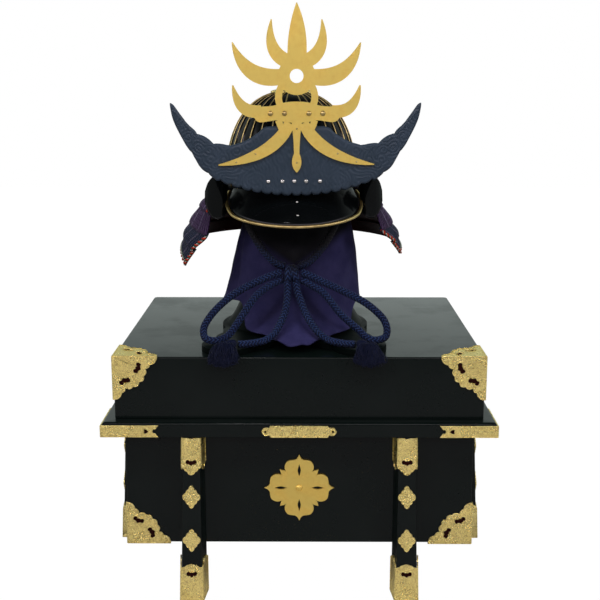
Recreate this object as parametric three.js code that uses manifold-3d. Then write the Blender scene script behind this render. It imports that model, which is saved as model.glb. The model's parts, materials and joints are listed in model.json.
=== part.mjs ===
// A samurai helmet (kabuto) on a draped stand and a six-legged chest.
// Millimetres, +Z up, front towards -Y. The origin is on the floor under the middle of the chest.
import * as THREE from "three";
import { mergeVertices } from "three/addons/utils/BufferGeometryUtils.js";
import Module from "manifold-3d";

const wasm = await Module();
wasm.setup();

// ---- driving dimensions ----
const gap = 0.3;
const sheet = 1.5;

const lid = { width: 547, depth: 438, bottom: 280.7, top: 375.4, wall: 12, edge: 1.5 };
const rim = { over: 17.5, bottom: 257.7, shoulder: 276.6, opening: 42, edge: 5 };
const body = { width: 524, depth: 411, bottom: 78.5, wall: 10 };
const leg = { topWidth: 24.4, footWidth: 32, backWider: 8, topDepth: 30.5, inset: 159.2, flare: 3 };
const legFootDepth = { front: 39, side: 42 };
const cap = { shoulder: 213, tip: 200 };
const shoe = { shoulder: 52, arch: 59, sideShoulder: 56, sideArch: 66 };
const corner = { along: 65, notch: 9 };
const rimCorner = { along: 84, notch: 9, hole: 2.6 };
const rimPlate = { length: 111, height: 18, neck: 10 };
const emblem = { radius: 53, z: 168, thick: 3 };

const stand = { x: -8, y: -20, plateThick: 8.8, wall: 6, bodyTop: 545, postRadius: 14, padRadius: 56 };
const cloth = { thick: 2 };
const cordDiameter = 11;

const helmet = { x: -14, y: -20, turn: 4 };
const bowl = { rx: 103, ry: 117, rimZ: 605, height: 150, wall: 3, ribs: 32, ribHeight: 1.8, hole: 9, squareness: 2.4 };
const visor = { halfWidth: 104, reach: 84, rootY: -78, frontZ: 563, endZ: 608, thick: 3, rollRadius: 2.8 };
const guard = { thick: 4, lames: 5, lap: 0.04, clear: 1.1, droopLeft: 26, droopRight: 10 };
const crescent = { back: -137, thick: 6, studRadius: 3.3, studZ: 627.8 };
const crest = { thick: 3, rivetZ: 726, rivetRadius: 4.2 };

// ---- finishes ----
function finish(color, roughness, metalness) {
  return new THREE.MeshStandardMaterial({ color, roughness, metalness });
}
const lacquer = finish(0x0b0d0e, 0.12, 0.0);
const gilt = finish(0xc9a84c, 0.35, 1.0);
const cloudBlue = finish(0x3d4652, 0.55, 0.2);
const purpleCloth = finish(0x2b2547, 0.8, 0.0);
const navyCord = finish(0x16233f, 0.75, 0.0);
const purpleLacing = finish(0x4a3a63, 0.8, 0.0);
const navyLacing = finish(0x1f2744, 0.8, 0.0);

// ---- solids ----
function solidOf(geometry) {
  const bare = geometry.clone();
  bare.deleteAttribute("normal");
  bare.deleteAttribute("uv");
  const merged = mergeVertices(bare, 1e-4);
  const index = merged.index.array;
  return new wasm.Manifold(
    new wasm.Mesh({
      numProp: 3,
      vertProperties: new Float32Array(merged.attributes.position.array),
      triVerts: new Uint32Array(index),
    }),
  );
}

function geometryOf(solid) {
  const mesh = solid.getMesh();
  const geometry = new THREE.BufferGeometry();
  geometry.setAttribute("position", new THREE.BufferAttribute(mesh.vertProperties, 3));
  geometry.setIndex(new THREE.BufferAttribute(mesh.triVerts, 1));
  geometry.computeVertexNormals();
  return geometry;
}

function piece(name, shape, material, parent) {
  const geometry = shape.isBufferGeometry ? shape : geometryOf(shape);
  const mesh = new THREE.Mesh(geometry, material);
  mesh.name = name;
  parent.add(mesh);
  return mesh;
}

function joined(solids) {
  return solids.reduce((all, one) => all.add(one));
}

function fromTriangles(points, faces) {
  const geometry = new THREE.BufferGeometry();
  geometry.setAttribute("position", new THREE.Float32BufferAttribute(points.flat(), 3));
  geometry.setIndex(faces.flat());
  const solid = solidOf(geometry);
  if (solid.volume() > 0) return solid;
  geometry.setIndex(faces.map(([a, b, c]) => [a, c, b]).flat());
  return solidOf(geometry);
}

// Rings of equal length joined in order: capped at both ends, or closed from the last to the first.
function loft(rings, closed = false) {
  const count = rings[0].length;
  const faces = [];
  const bands = closed ? rings.length : rings.length - 1;
  for (let i = 0; i < bands; i++) {
    const low = i * count;
    const high = ((i + 1) % rings.length) * count;
    for (let j = 0; j < count; j++) {
      const k = (j + 1) % count;
      faces.push([low + j, low + k, high + k], [low + j, high + k, high + j]);
    }
  }
  if (!closed) {
    const last = (rings.length - 1) * count;
    for (let j = 1; j < count - 1; j++) {
      faces.push([0, j + 1, j], [last, last + j, last + j + 1]);
    }
  }
  return fromTriangles(rings.flat(), faces);
}

// A plate between two grids of points with the same rows and columns.
function plate(front, back) {
  const rows = front.length;
  const columns = front[0].length;
  const offset = rows * columns;
  const at = (i, j) => i * columns + j;
  const faces = [];
  const quad = (a, b, c, d) => faces.push([a, b, c], [a, c, d]);
  for (let i = 0; i < rows - 1; i++) {
    for (let j = 0; j < columns - 1; j++) {
      quad(at(i, j), at(i, j + 1), at(i + 1, j + 1), at(i + 1, j));
      quad(offset + at(i, j), offset + at(i + 1, j), offset + at(i + 1, j + 1), offset + at(i, j + 1));
    }
  }
  for (let j = 0; j < columns - 1; j++) {
    const last = rows - 1;
    quad(at(0, j + 1), at(0, j), offset + at(0, j), offset + at(0, j + 1));
    quad(at(last, j), at(last, j + 1), offset + at(last, j + 1), offset + at(last, j));
  }
  for (let i = 0; i < rows - 1; i++) {
    const last = columns - 1;
    quad(at(i, 0), at(i + 1, 0), offset + at(i + 1, 0), offset + at(i, 0));
    quad(at(i + 1, last), at(i, last), offset + at(i, last), offset + at(i + 1, last));
  }
  return fromTriangles([...front.flat(), ...back.flat()], faces);
}

function slab(outline, depth, curveSegments = 3) {
  return solidOf(new THREE.ExtrudeGeometry(outline, { depth, bevelEnabled: false, curveSegments }));
}

// Stands a slab drawn in x and z up, with its front face at y and its thickness behind.
function upright(solid, y, depth) {
  return solid.rotate([90, 0, 0]).translate([0, y + depth, 0]);
}

function box(x0, y0, z0, x1, y1, z1) {
  const geometry = new THREE.BoxGeometry(x1 - x0, y1 - y0, z1 - z0);
  geometry.translate((x0 + x1) / 2, (y0 + y1) / 2, (z0 + z1) / 2);
  return solidOf(geometry);
}

function rectangle(width, depth, z, inset = 0) {
  const x = width / 2 - inset;
  const y = depth / 2 - inset;
  return [[-x, -y, z], [x, -y, z], [x, y, z], [-x, y, z]];
}

function polygon(points) {
  return new THREE.Shape(points.map(([x, y]) => new THREE.Vector2(x, y)));
}

// A tube of round section along a smooth curve through the points, tapered where radii are given.
function tube(points, radius, steps, sides = 8, taper = () => 1) {
  const curve = new THREE.CatmullRomCurve3(points.map((p) => new THREE.Vector3(...p)), false, "centripetal");
  const frames = curve.computeFrenetFrames(steps);
  const rings = [];
  for (let i = 0; i <= steps; i++) {
    const centre = curve.getPointAt(i / steps);
    const r = radius * taper(i / steps);
    rings.push(
      Array.from({ length: sides }, (_, k) => {
        const turn = (k / sides) * 2 * Math.PI;
        const side = frames.normals[i].clone().multiplyScalar(r * Math.cos(turn));
        const up = frames.binormals[i].clone().multiplyScalar(r * Math.sin(turn));
        return centre.clone().add(side).add(up).toArray();
      }),
    );
  }
  return loft(rings);
}

// A dome-headed rivet with its flat side at y, standing forward.
function rivet(x, y, z, radius, height, sides = 6) {
  const profile = [[0, -1], [radius, -1], [radius, 0], [radius * 0.7, height * 0.7], [0, height]];
  const geometry = new THREE.LatheGeometry(profile.map(([r, h]) => new THREE.Vector2(r, h)), sides);
  return solidOf(geometry).rotate([180, 0, 0]).translate([x, y, z]);
}

// ---- the chest ----
function addChest(parent) {
  const shellOf = (size, bottom, top, wall, floor) =>
    loft([rectangle(size.width, size.depth, bottom), rectangle(size.width, size.depth, top)]).subtract(
      loft([
        rectangle(size.width, size.depth, floor, wall),
        rectangle(size.width, size.depth, top + 1, wall),
      ]),
    );
  piece(
    "chest_body",
    shellOf(body, body.bottom, rim.bottom - gap, body.wall, body.bottom + body.wall),
    lacquer,
    parent,
  );

  const wide = { width: lid.width + 2 * rim.over, depth: lid.depth + 2 * rim.over };
  const rimTop = lid.bottom - gap;
  const frame = loft([
    rectangle(wide.width, wide.depth, rim.bottom),
    rectangle(wide.width, wide.depth, rim.shoulder),
    rectangle(wide.width, wide.depth, rim.shoulder + (rimTop - rim.shoulder) * 0.7, rim.edge * 0.3),
    rectangle(wide.width, wide.depth, rimTop, rim.edge),
  ]).subtract(
    loft([
      rectangle(wide.width, wide.depth, rim.bottom - 1, rim.opening),
      rectangle(wide.width, wide.depth, rimTop + 1, rim.opening),
    ]),
  );
  piece("chest_rim", frame, lacquer, parent);

  const cover = loft([
    rectangle(lid.width, lid.depth, lid.bottom),
    rectangle(lid.width, lid.depth, lid.top - lid.edge),
    rectangle(lid.width, lid.depth, lid.top - lid.edge * 0.3, lid.edge * 0.3),
    rectangle(lid.width, lid.depth, lid.top, lid.edge),
  ]).subtract(
    loft([
      rectangle(lid.width, lid.depth, lid.bottom - 1, lid.wall),
      rectangle(lid.width, lid.depth, lid.top - lid.wall, lid.wall),
    ]),
  );
  piece("chest_lid", cover, lacquer, parent);
}

// A small winged mark, pierced through the gilt sheets.
function batMark(width) {
  const w = width / 2;
  return [[-w, 0], [-w * 0.6, -w * 0.3], [0, -w * 0.12], [w * 0.6, -w * 0.3], [w, 0], [0, w * 0.32]];
}

function marked(x, y, width, turn = 0) {
  const c = Math.cos(turn);
  const s = Math.sin(turn);
  return new THREE.Path(batMark(width).map(([a, b]) => new THREE.Vector2(x + a * c - b * s, y + a * s + b * c)));
}

// The leg stands along +Z with its back at y = 0 and its face towards -Y.
function legSection(z, footDepth, flare, grow = 0, back = 0) {
  const share = 1 - z / rim.bottom;
  const half = (leg.topWidth + (leg.footWidth - leg.topWidth) * share) / 2;
  const depth = leg.topDepth + (footDepth - leg.topDepth) * share;
  const halfAt = (y) => half + grow + ((leg.backWider / 2) * (y + depth)) / depth;
  const shift = flare * share;
  const face = -depth - grow;
  return [
    [shift - halfAt(face), face, z],
    [shift + halfAt(face), face, z],
    [shift + halfAt(back), back, z],
    [shift - halfAt(back), back, z],
  ];
}

function legSolid(z0, z1, footDepth, flare, grow = 0, back = 0) {
  return loft([legSection(z0, footDepth, flare, grow, back), legSection(z1, footDepth, flare, grow, back)]);
}

// The gilt sheet round a leg between two heights, before its free edge is cut to shape.
function legSleeve(z0, z1, footDepth, flare) {
  return legSolid(z0, z1, footDepth, flare, sheet + gap).subtract(
    legSolid(z0 - 1, z1 + 1, footDepth, flare, gap, 1),
  );
}

// Cuts away what lies beyond the edge line: on the face along X and on both sides along Y.
function cutSleeve(sleeve, faceLine, sideLine, beyond, footDepth) {
  const face = legFaceY(footDepth) - 2 * sheet;
  const across = [...faceLine, [60, faceLine.at(-1)[1]], [60, beyond], [-60, beyond], [-60, faceLine[0][1]]];
  const along = [...sideLine, [20, sideLine.at(-1)[1]], [20, beyond], [-90, beyond], [-90, sideLine[0][1]]];
  const front = upright(slab(polygon(across), 12), face - 6, 12);
  const sides = slab(polygon(along), 160).rotate([90, 0, 90]).translate([-80, 0, 0]);
  const behindFace = sides.subtract(box(-100, face - 10, -10, 100, face + 6, 400));
  return sleeve.subtract(front).subtract(behindFace);
}

function legFaceY(footDepth) {
  return -(leg.topDepth + footDepth) / 2;
}

function legCap(footDepth, flare) {
  const half = leg.topWidth / 2 + 4;
  const raw = legSleeve(cap.tip, rim.bottom - gap, footDepth, flare);
  const faceLine = [
    [-half, cap.shoulder], [-half * 0.7, cap.shoulder - 1], [-half * 0.3, cap.shoulder - 8], [0, cap.tip + 0.5],
    [half * 0.3, cap.shoulder - 8], [half * 0.7, cap.shoulder - 1], [half, cap.shoulder],
  ];
  const middle = -leg.topDepth / 2;
  const sideLine = [[-leg.topDepth - 6, cap.shoulder], [middle, cap.tip + 3], [2, cap.shoulder]];
  const cut = cutSleeve(raw, faceLine, sideLine, cap.tip - 20, leg.topDepth + 4);
  const mark = slab(new THREE.Shape(marked(0, cap.shoulder + 8, 15).getPoints()), 20);
  return cut.subtract(upright(mark, -leg.topDepth - 12, 20));
}

function legShoe(footDepth, flare) {
  const raw = legSleeve(0, shoe.sideArch, footDepth, flare);
  const x = flare * 0.8;
  const faceLine = [
    [x - 22, shoe.shoulder], [x - 11, shoe.shoulder + 2.5], [x - 5, shoe.arch], [x + 5, shoe.arch],
    [x + 11, shoe.shoulder + 2.5], [x + 22, shoe.shoulder],
  ];
  const middle = -footDepth / 2;
  const sideLine = [[-footDepth - 8, shoe.sideShoulder], [middle, shoe.sideArch], [2, shoe.sideShoulder]];
  const cut = cutSleeve(raw, faceLine, sideLine, shoe.sideArch + 20, footDepth);
  const mark = slab(new THREE.Shape(marked(x, shoe.shoulder - 9, 16).getPoints()), 20);
  return cut.subtract(upright(mark, -footDepth - 12, 20));
}

function addLegs(parent) {
  const atFront = body.depth / 2 + gap;
  const atSide = body.width / 2 + gap;
  const places = [
    ["front_left", -leg.inset, -atFront, 0, -leg.flare, legFootDepth.front],
    ["front_right", leg.inset, -atFront, 0, leg.flare, legFootDepth.front],
    ["back_left", -leg.inset, atFront, Math.PI, leg.flare, legFootDepth.front],
    ["back_right", leg.inset, atFront, Math.PI, -leg.flare, legFootDepth.front],
    ["side_left", -atSide, 0, -Math.PI / 2, 0, legFootDepth.side],
    ["side_right", atSide, 0, Math.PI / 2, 0, legFootDepth.side],
  ];
  for (const [name, x, y, turn, flare, footDepth] of places) {
    const group = new THREE.Group();
    group.position.set(x, y, 0);
    group.rotation.z = turn;
    parent.add(group);
    piece("leg_" + name, legSolid(0, rim.bottom - gap, footDepth, flare), lacquer, group);
    piece("leg_cap_" + name, legCap(footDepth, flare), gilt, group);
    piece("leg_shoe_" + name, legShoe(footDepth, flare), gilt, group);
  }
}

// One leaf of a corner fitting: x and y run away from the corner, with a lobed edge across.
function cornerLeaf(length, withMarks) {
  const e = sheet + gap;
  const half = [[0.12, 0.95], [0.21, 0.83], [0.3, 0.73], [0.46, 0.73], [0.57, 0.67]];
  const edge = [[0, 1], ...half, ...half.map(([a, b]) => [b, a]).reverse(), [1, 0]];
  const outline = polygon([[-e, -e], [length, -e], ...edge.map(([a, b]) => [b * length, a * length]), [-e, length]]);
  if (withMarks) {
    outline.holes.push(marked(length * 0.24, length * 0.56, 15, Math.PI * 0.87));
    outline.holes.push(marked(length * 0.56, length * 0.24, 15, Math.PI * 0.63));
  }
  return slab(outline, sheet).translate([0, 0, gap]);
}

// Three leaves over the corner where x, y and z are all zero, on the faces that look to -x, -y and -z.
function threeSided(length, marks) {
  const under = cornerLeaf(length, marks.under).scale([1, 1, -1]);
  const front = cornerLeaf(length, marks.front).rotate([90, 0, 0]);
  const side = cornerLeaf(length, marks.side).scale([1, 1, -1]).rotate([90, 0, 90]);
  return joined([under, front, side]);
}

function addCorners(parent) {
  const lidMarks = { under: false, front: true, side: true };
  const bodyMarks = { under: false, front: true, side: true };
  const lidCorner = threeSided(corner.along, lidMarks);
  const bodyCorner = threeSided(corner.along, bodyMarks);
  for (const [side, sx] of [["left", -1], ["right", 1]]) {
    for (const [end, sy] of [["front", -1], ["back", 1]]) {
      if (end === "front") {
        const upper = lidCorner.scale([-sx, -sy, -1]).translate([(sx * lid.width) / 2, (sy * lid.depth) / 2, lid.top]);
        piece(`lid_corner_${end}_${side}`, upper, gilt, parent);
      }
      const lower = bodyCorner
        .scale([-sx, -sy, 1])
        .translate([(sx * body.width) / 2, (sy * body.depth) / 2, body.bottom]);
      piece(`body_corner_${end}_${side}`, lower, gilt, parent);
      const strip = rimAngle().scale([-sx, -sy, 1]).translate([
        sx * (lid.width / 2 + rim.over),
        sy * (lid.depth / 2 + rim.over),
        0,
      ]);
      piece(`rim_corner_${end}_${side}`, strip, gilt, parent);
    }
  }
}

// An angle strip on the rim's corner with swallow-tail ends, running to +x and +y from the corner.
function rimAngle() {
  const low = rim.bottom + 0.6;
  const high = rim.shoulder - 0.2;
  const middle = (low + high) / 2;
  const e = sheet + gap;
  const outline = polygon([
    [-e, low], [rimCorner.along, low], [rimCorner.along - rimCorner.notch, middle - 1.5],
    [rimCorner.along - rimCorner.notch, middle + 1.5], [rimCorner.along, high], [-e, high],
  ]);
  const hole = new THREE.Path();
  hole.absarc(rimCorner.along - 2.1 * rimCorner.notch, middle, rimCorner.hole, 0, 2 * Math.PI);
  outline.holes.push(hole);
  const leaf = slab(outline, sheet, 4).translate([0, 0, gap]);
  return leaf.rotate([90, 0, 0]).add(leaf.scale([1, 1, -1]).rotate([90, 0, 90]));
}

function addRimPlate(parent) {
  const half = rimPlate.length / 2;
  const h = rimPlate.height / 2;
  const shoulder = half - rimPlate.neck - 2;
  const middle = (rim.bottom + rim.shoulder) / 2;
  const right = [[shoulder, -h], [shoulder + 4, -h * 0.6], [half - 7, -h * 0.8], [half - 2, -h * 0.5], [half, 0]];
  const upper = right.slice(0, -1).map(([x, z]) => [x, -z]).reverse();
  const outline = [...right, ...upper];
  const mirrored = outline.map(([x, z]) => [-x, z]).reverse();
  const shape = polygon([...outline, ...mirrored].map(([x, z]) => [x, z + middle]));
  const y = -(lid.depth / 2 + rim.over) - gap - sheet;
  piece("rim_plate", upright(slab(shape, sheet), y, sheet), gilt, parent);
}

// A flower of four broad notched petals with four narrow leaves between them.
function addEmblem(parent) {
  const r = emblem.radius;
  const petal = new THREE.Shape();
  petal.moveTo(0, r * 0.08);
  petal.bezierCurveTo(r * 0.2, r * 0.24, r * 0.46, r * 0.44, r * 0.4, r * 0.66);
  petal.quadraticCurveTo(r * 0.34, r * 0.86, r * 0.14, r * 0.84);
  petal.quadraticCurveTo(r * 0.04, r * 0.88, 0, r);
  petal.quadraticCurveTo(-r * 0.04, r * 0.88, -r * 0.14, r * 0.84);
  petal.quadraticCurveTo(-r * 0.34, r * 0.86, -r * 0.4, r * 0.66);
  petal.bezierCurveTo(-r * 0.46, r * 0.44, -r * 0.2, r * 0.24, 0, r * 0.08);
  const slit = new THREE.Path();
  slit.moveTo(0, r * 0.34);
  slit.quadraticCurveTo(r * 0.07, r * 0.52, 0, r * 0.72);
  slit.quadraticCurveTo(-r * 0.07, r * 0.52, 0, r * 0.34);
  petal.holes.push(slit);
  const leaf = polygon([[-r * 0.05, r * 0.2], [r * 0.05, r * 0.2], [r * 0.09, r * 0.6], [0, r * 0.78], [-r * 0.09, r * 0.6]]);
  const heart = new THREE.Shape().absarc(0, 0, r * 0.24, 0, 2 * Math.PI);
  const parts = [slab(heart, emblem.thick, 7)];
  for (let k = 0; k < 4; k++) {
    parts.push(slab(petal, emblem.thick, 2).rotate([0, 0, 90 * k]));
    parts.push(slab(leaf, emblem.thick).rotate([0, 0, 90 * k + 45]));
  }
  const y = -body.depth / 2 - gap - emblem.thick;
  piece("chest_emblem", upright(joined(parts), y, emblem.thick).translate([0, 0, emblem.z]), gilt, parent);
}

// ---- the stand ----
function oval(rx, ry, z, count, power = 2) {
  return Array.from({ length: count }, (_, k) => {
    const a = (k / count) * 2 * Math.PI;
    const c = Math.cos(a);
    const s = Math.sin(a);
    const r = (Math.abs(c) ** power + Math.abs(s) ** power) ** (-1 / power);
    return [rx * r * c, ry * r * s, z];
  });
}

function addStand(parent) {
  const group = new THREE.Group();
  group.position.set(stand.x, stand.y, 0);
  parent.add(group);
  const plateBottom = lid.top + gap;
  const plateTop = plateBottom + stand.plateThick;
  const lobe = (x, y, r) => new THREE.Shape().absarc(x, y, r, 0, 2 * Math.PI);
  const lobes = [lobe(0, -6, 118)];
  for (const x of [-99, 99]) lobes.push(lobe(x, -154, 40), blade([0, 0], [x * 0.6, -77], [x, -154], 110, 80, 56, 3));
  const base = joined(lobes.map((shape) => slab(shape, stand.plateThick, 7))).translate([0, 0, plateBottom]);
  piece("stand_base", base, lacquer, group);

  const z0 = plateTop + gap;
  const profile = [[110, 96, z0], [98, 86, z0 + 18], [84, 76, z0 + 50], [76, 68, 480], [70, 62, stand.bodyTop]];
  const outer = profile.map(([rx, ry, z]) => oval(rx, ry, z, 20, 2.3));
  const inner = profile.map(([rx, ry, z], i) =>
    oval(rx - stand.wall, ry - stand.wall, i === 0 ? z - 1 : z - (i === 4 ? stand.wall : 0), 20, 2.3),
  );
  piece("stand_body", loft(outer).subtract(loft(inner)), lacquer, group);

  const padTop = clothPoint(0, 1 / clothRows, cloth.thick)[2] - gap;
  const r = stand.padRadius;
  const dome = [[0, 0], [r * 0.4, -4.5], [r * 0.72, -16], [r * 0.93, -35], [r, -52]];
  const outline = [
    ...dome, [r, -62], [stand.postRadius, -66],
    [stand.postRadius, stand.bodyTop + gap - padTop], [0, stand.bodyTop + gap - padTop],
  ];
  const post = new THREE.LatheGeometry(outline.map(([x, z]) => new THREE.Vector2(x, z)).reverse(), 20);
  piece("stand_post", solidOf(post).rotate([90, 0, 0]).translate([0, 0, padTop]), lacquer, group);
}

// ---- the cloth ----
const clothRows = 9;

// Half-width and half-depth at a height, seen from the stand's middle.
function clothRow(share) {
  const rows = [
    [0.1, 749], [20, 747.2], [42, 735], [57, 716], [64, 690], [70, 650], [77, 600], [86, 550], [94, 505], [99, 460],
    [104, 425], [112, 404], [124, 392],
  ];
  const place = share * (rows.length - 1);
  const i = Math.min(rows.length - 2, Math.floor(place));
  const f = place - i;
  return [0, 1].map((k) => rows[i][k] * (1 - f) + rows[i + 1][k] * f);
}

// The hem's height round the stand: low in front and behind, high at the sides.
function hemShare(turn) {
  const side = Math.abs(Math.sin(turn));
  return 1 - 0.26 * side ** 6;
}

function clothPoint(turn, along, inward) {
  const share = along * hemShare(turn);
  const [radius, z] = clothRow(share);
  const front = Math.max(0, Math.cos(turn));
  const low = Math.max(0, (share - 0.55) / 0.45);
  const fold = 1 + 0.035 * low * Math.cos(9 * turn) + 0.02 * Math.max(0, share - 0.3) * Math.sin(5 * turn + 1);
  const tip = 62 * low ** 4 * front ** 10;
  const r = radius * fold - inward;
  const drop = 5.2 * low ** 3 * front ** 8;
  return [r * Math.sin(turn), -(r * 1.03 + tip) * Math.cos(turn), z - drop - inward * (share < 0.25 ? 1 : 0)];
}

function addCloth(parent) {
  const around = 30;
  const rows = clothRows;
  const ringOf = (i, inward) =>
    Array.from({ length: around }, (_, k) => clothPoint((k / around) * 2 * Math.PI, i / rows, inward));
  const outer = Array.from({ length: rows }, (_, i) => ringOf(i + 1, 0));
  const inner = Array.from({ length: rows }, (_, i) => ringOf(rows - i, cloth.thick));
  const group = new THREE.Group();
  group.position.set(stand.x, stand.y, 0);
  parent.add(group);
  piece("cloth", loft([...outer, ...inner]), purpleCloth, group);
}

// ---- the helmet ----
// The bowl's surface: turn runs round from the front, rise from the rim (0) to the crown (1).
function bowlPoint(turn, rise, grow) {
  const lift = Math.sin((rise * Math.PI) / 2);
  const shrink = (1 - lift ** bowl.squareness) ** (1 / bowl.squareness);
  const height = bowl.height + grow;
  return [
    (bowl.rx + grow) * shrink * Math.sin(turn),
    -(bowl.ry + grow) * shrink * Math.cos(turn),
    bowl.rimZ + height * lift,
  ];
}

function bowlSolid(grow, ribs) {
  const count = 2 * bowl.ribs;
  const steps = [0, 0.2, 0.4, 0.57, 0.72, 0.84, 0.935];
  const ring = (rise, step, ribbed) =>
    Array.from({ length: count }, (_, k) => {
      const turn = ((k + (k % 2 ? -0.55 : 0)) / count) * 2 * Math.PI;
      const rib = ribbed && k % 2 === 0 ? bowl.ribHeight * Math.min(1, 1.6 - 1.5 * rise) : 0;
      return bowlPoint(turn, rise, step + rib);
    });
  const outer = steps.map((rise) => ring(rise, grow, ribs));
  const inner = [0.935, 0.75, 0.5, 0.25, 0].map((rise) => ring(rise, -bowl.wall, false));
  return loft([...outer, ...inner], true);
}

// The bowl filled in and grown a little, which cuts its neighbours to fit it.
function bowlCutter() {
  const rings = [-0.12, 0, 0.2, 0.4, 0.57, 0.72, 0.84, 0.935].map((rise) =>
    Array.from({ length: 48 }, (_, k) =>
      bowlPoint((k / 48) * 2 * Math.PI, Math.max(rise, 0), bowl.ribHeight + 2 * gap).map((v, axis) =>
        axis === 2 && rise < 0 ? v - 20 : v,
      ),
    ),
  );
  return loft(rings);
}

function addBowl(parent) {
  piece("bowl", bowlSolid(0, true), lacquer, parent);
  const base = bowlPoint(0, 0.935, bowl.ribHeight)[2] + gap;
  const opening = bowl.hole - 3;
  const profile = [
    [opening, base], [17, base], [33, base - 1.8], [33, base + 0.5], [23, base + 4], [17, base + 5],
    [14, base + 9], [opening, base + 9], [opening, base],
  ];
  const ring = new THREE.LatheGeometry(profile.map(([r, z]) => new THREE.Vector2(r, z)), 16);
  piece("crown_ring", solidOf(ring).rotate([90, 0, 0]), gilt, parent);
}

// The peak's free edge and its root on the bowl, at an angle round from the front.
function visorEdge(turn) {
  const c = Math.cos(turn);
  const rise = (1 - c) ** 1.69;
  return [
    visor.halfWidth * Math.sin(turn),
    visor.rootY - visor.reach * c,
    visor.frontZ + (visor.endZ - visor.frontZ) * rise,
  ];
}

function visorRoot(turn) {
  const reach = turn * 0.56;
  const grow = bowl.ribHeight + 3 * gap;
  return [(bowl.rx + grow) * Math.sin(reach), -(bowl.ry + grow) * Math.cos(reach), bowl.rimZ + 5];
}

function visorPoint(turn, out, lower) {
  const root = visorRoot(turn);
  const edge = visorEdge(turn);
  const swell = 5 * Math.sin(out * Math.PI) * Math.cos(turn);
  return [0, 1, 2].map((axis) => root[axis] * (1 - out) + edge[axis] * out + (axis === 2 ? swell - lower : 0));
}

function addVisor(parent) {
  const columns = 20;
  const rows = 3;
  const widest = Math.PI / 2 - 0.04;
  const grid = (lower) =>
    Array.from({ length: rows + 1 }, (_, i) =>
      Array.from({ length: columns + 1 }, (_, k) => {
        const turn = -widest + (k / columns) * 2 * widest;
        return visorPoint(turn, (i / rows) * 0.985, lower);
      }),
    );
  piece("visor", plate(grid(0), grid(visor.thick)), lacquer, parent);

  const edgeLine = Array.from({ length: 21 }, (_, k) => {
    const turn = -widest + (k / 20) * 2 * widest;
    const [x, y, z] = visorEdge(turn);
    const out = visor.rollRadius + 1.6;
    return [x + out * Math.sin(turn), y - out * Math.cos(turn), z - visor.thick / 2];
  });
  piece("visor_rim", tube(edgeLine, visor.rollRadius, 22, 6), gilt, parent);
}

// The neck guard's outer line from the bowl's rim down: distance out, height and front end's angle.
const guardLine = new THREE.CatmullRomCurve3([
  new THREE.Vector3(6.6, 608, 117),
  new THREE.Vector3(26, 597, 117),
  new THREE.Vector3(49, 580, 118),
  new THREE.Vector3(65, 551, 124),
  new THREE.Vector3(74.5, 530, 116),
  new THREE.Vector3(78.5, 509, 107),
]);

function guardAt(along) {
  const { x, y, z } = guardLine.getPoint(Math.min(Math.max(along, 0), 1));
  return { out: x, z: y, end: (z * Math.PI) / 180 };
}

// side runs from -1 at the left front end through 0 at the back to 1 at the right front end.
function guardPoint(side, along, inward) {
  const { out, z, end } = guardAt(along);
  const above = guardAt(along - 0.04);
  const below = guardAt(along + 0.04);
  const length = Math.hypot(below.out - above.out, below.z - above.z);
  const inwardOut = ((below.z - above.z) / length) * inward;
  const inwardZ = ((above.out - below.out) / length) * inward;
  const turn = side * end;
  const ends = Math.max(0, (Math.abs(side) - 0.62) / 0.38);
  const standOff = 19 * ends ** 1.5 * Math.max(0, 1 - 4 * along);
  const droop = (side < 0 ? guard.droopLeft : guard.droopRight) * ends ** 2 * along ** 2;
  const reach = out + standOff + inwardOut;
  return [
    (bowl.rx + reach) * Math.sin(turn),
    (bowl.ry + reach) * Math.cos(turn) + 8 * along,
    z - droop + inwardZ,
  ];
}

// One lame: its top lies tucked in behind the lame above, and its foot laps over the one below.
function lame(number) {
  const columns = 20;
  const from = number / guard.lames - (number ? guard.lap / 2 : 0);
  const to = (number + 1) / guard.lames + guard.lap / 2;
  const tuck = number ? guard.thick + guard.clear : 0;
  const rows = [[from, tuck], [from + guard.lap * 1.6, tuck], [to - guard.lap * 1.4, 0], [Math.min(1, to), 0]];
  const grid = (deep) =>
    rows.map(([along, inward]) =>
      Array.from({ length: columns + 1 }, (_, k) => guardPoint((2 * k) / columns - 1, along, inward + deep)),
    );
  return plate(grid(0), grid(guard.thick));
}

// The wing that the top lame's front end turns back into: upper and lower edge from the fold outwards.
const wingColumns = [
  { upper: [115, -56, 606.5], lower: [119.5, -57, 597.5], behind: [1, -0.1] },
  { upper: [111, -69, 610], lower: [104, -80, 589], behind: [1, 0.05] },
  { upper: [116, -78, 616], lower: [108, -88, 580], behind: [0.88, 0.47] },
  { upper: [119, -84, 622], lower: [115, -90, 575.5], behind: [0.51, 0.86] },
  { upper: [126, -84, 625], lower: [125, -88, 574], behind: [-0.26, 0.97] },
  { upper: [134, -80, 619], lower: [134, -83, 580], behind: [-0.54, 0.84] },
  { upper: [138.5, -76, 607], lower: [139, -78, 591], behind: [-0.6, 0.8] },
];

function wing(side) {
  const grid = (deep) =>
    [0, 0.5, 1].map((v) =>
      wingColumns.map(({ upper, lower, behind }) => [
        side * (upper[0] * (1 - v) + lower[0] * v + behind[0] * deep),
        upper[1] * (1 - v) + lower[1] * v + behind[1] * deep,
        upper[2] * (1 - v) + lower[2] * v,
      ]),
    );
  return plate(grid(0), grid(3));
}

function addNeckGuard(parent) {
  piece("neck_guard_1", joined([lame(0), wing(-1), wing(1)]), lacquer, parent);
  for (let number = 1; number < guard.lames; number++) {
    piece(`neck_guard_${number + 1}`, lame(number), number < 3 ? purpleLacing : navyLacing, parent);
  }
}

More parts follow.
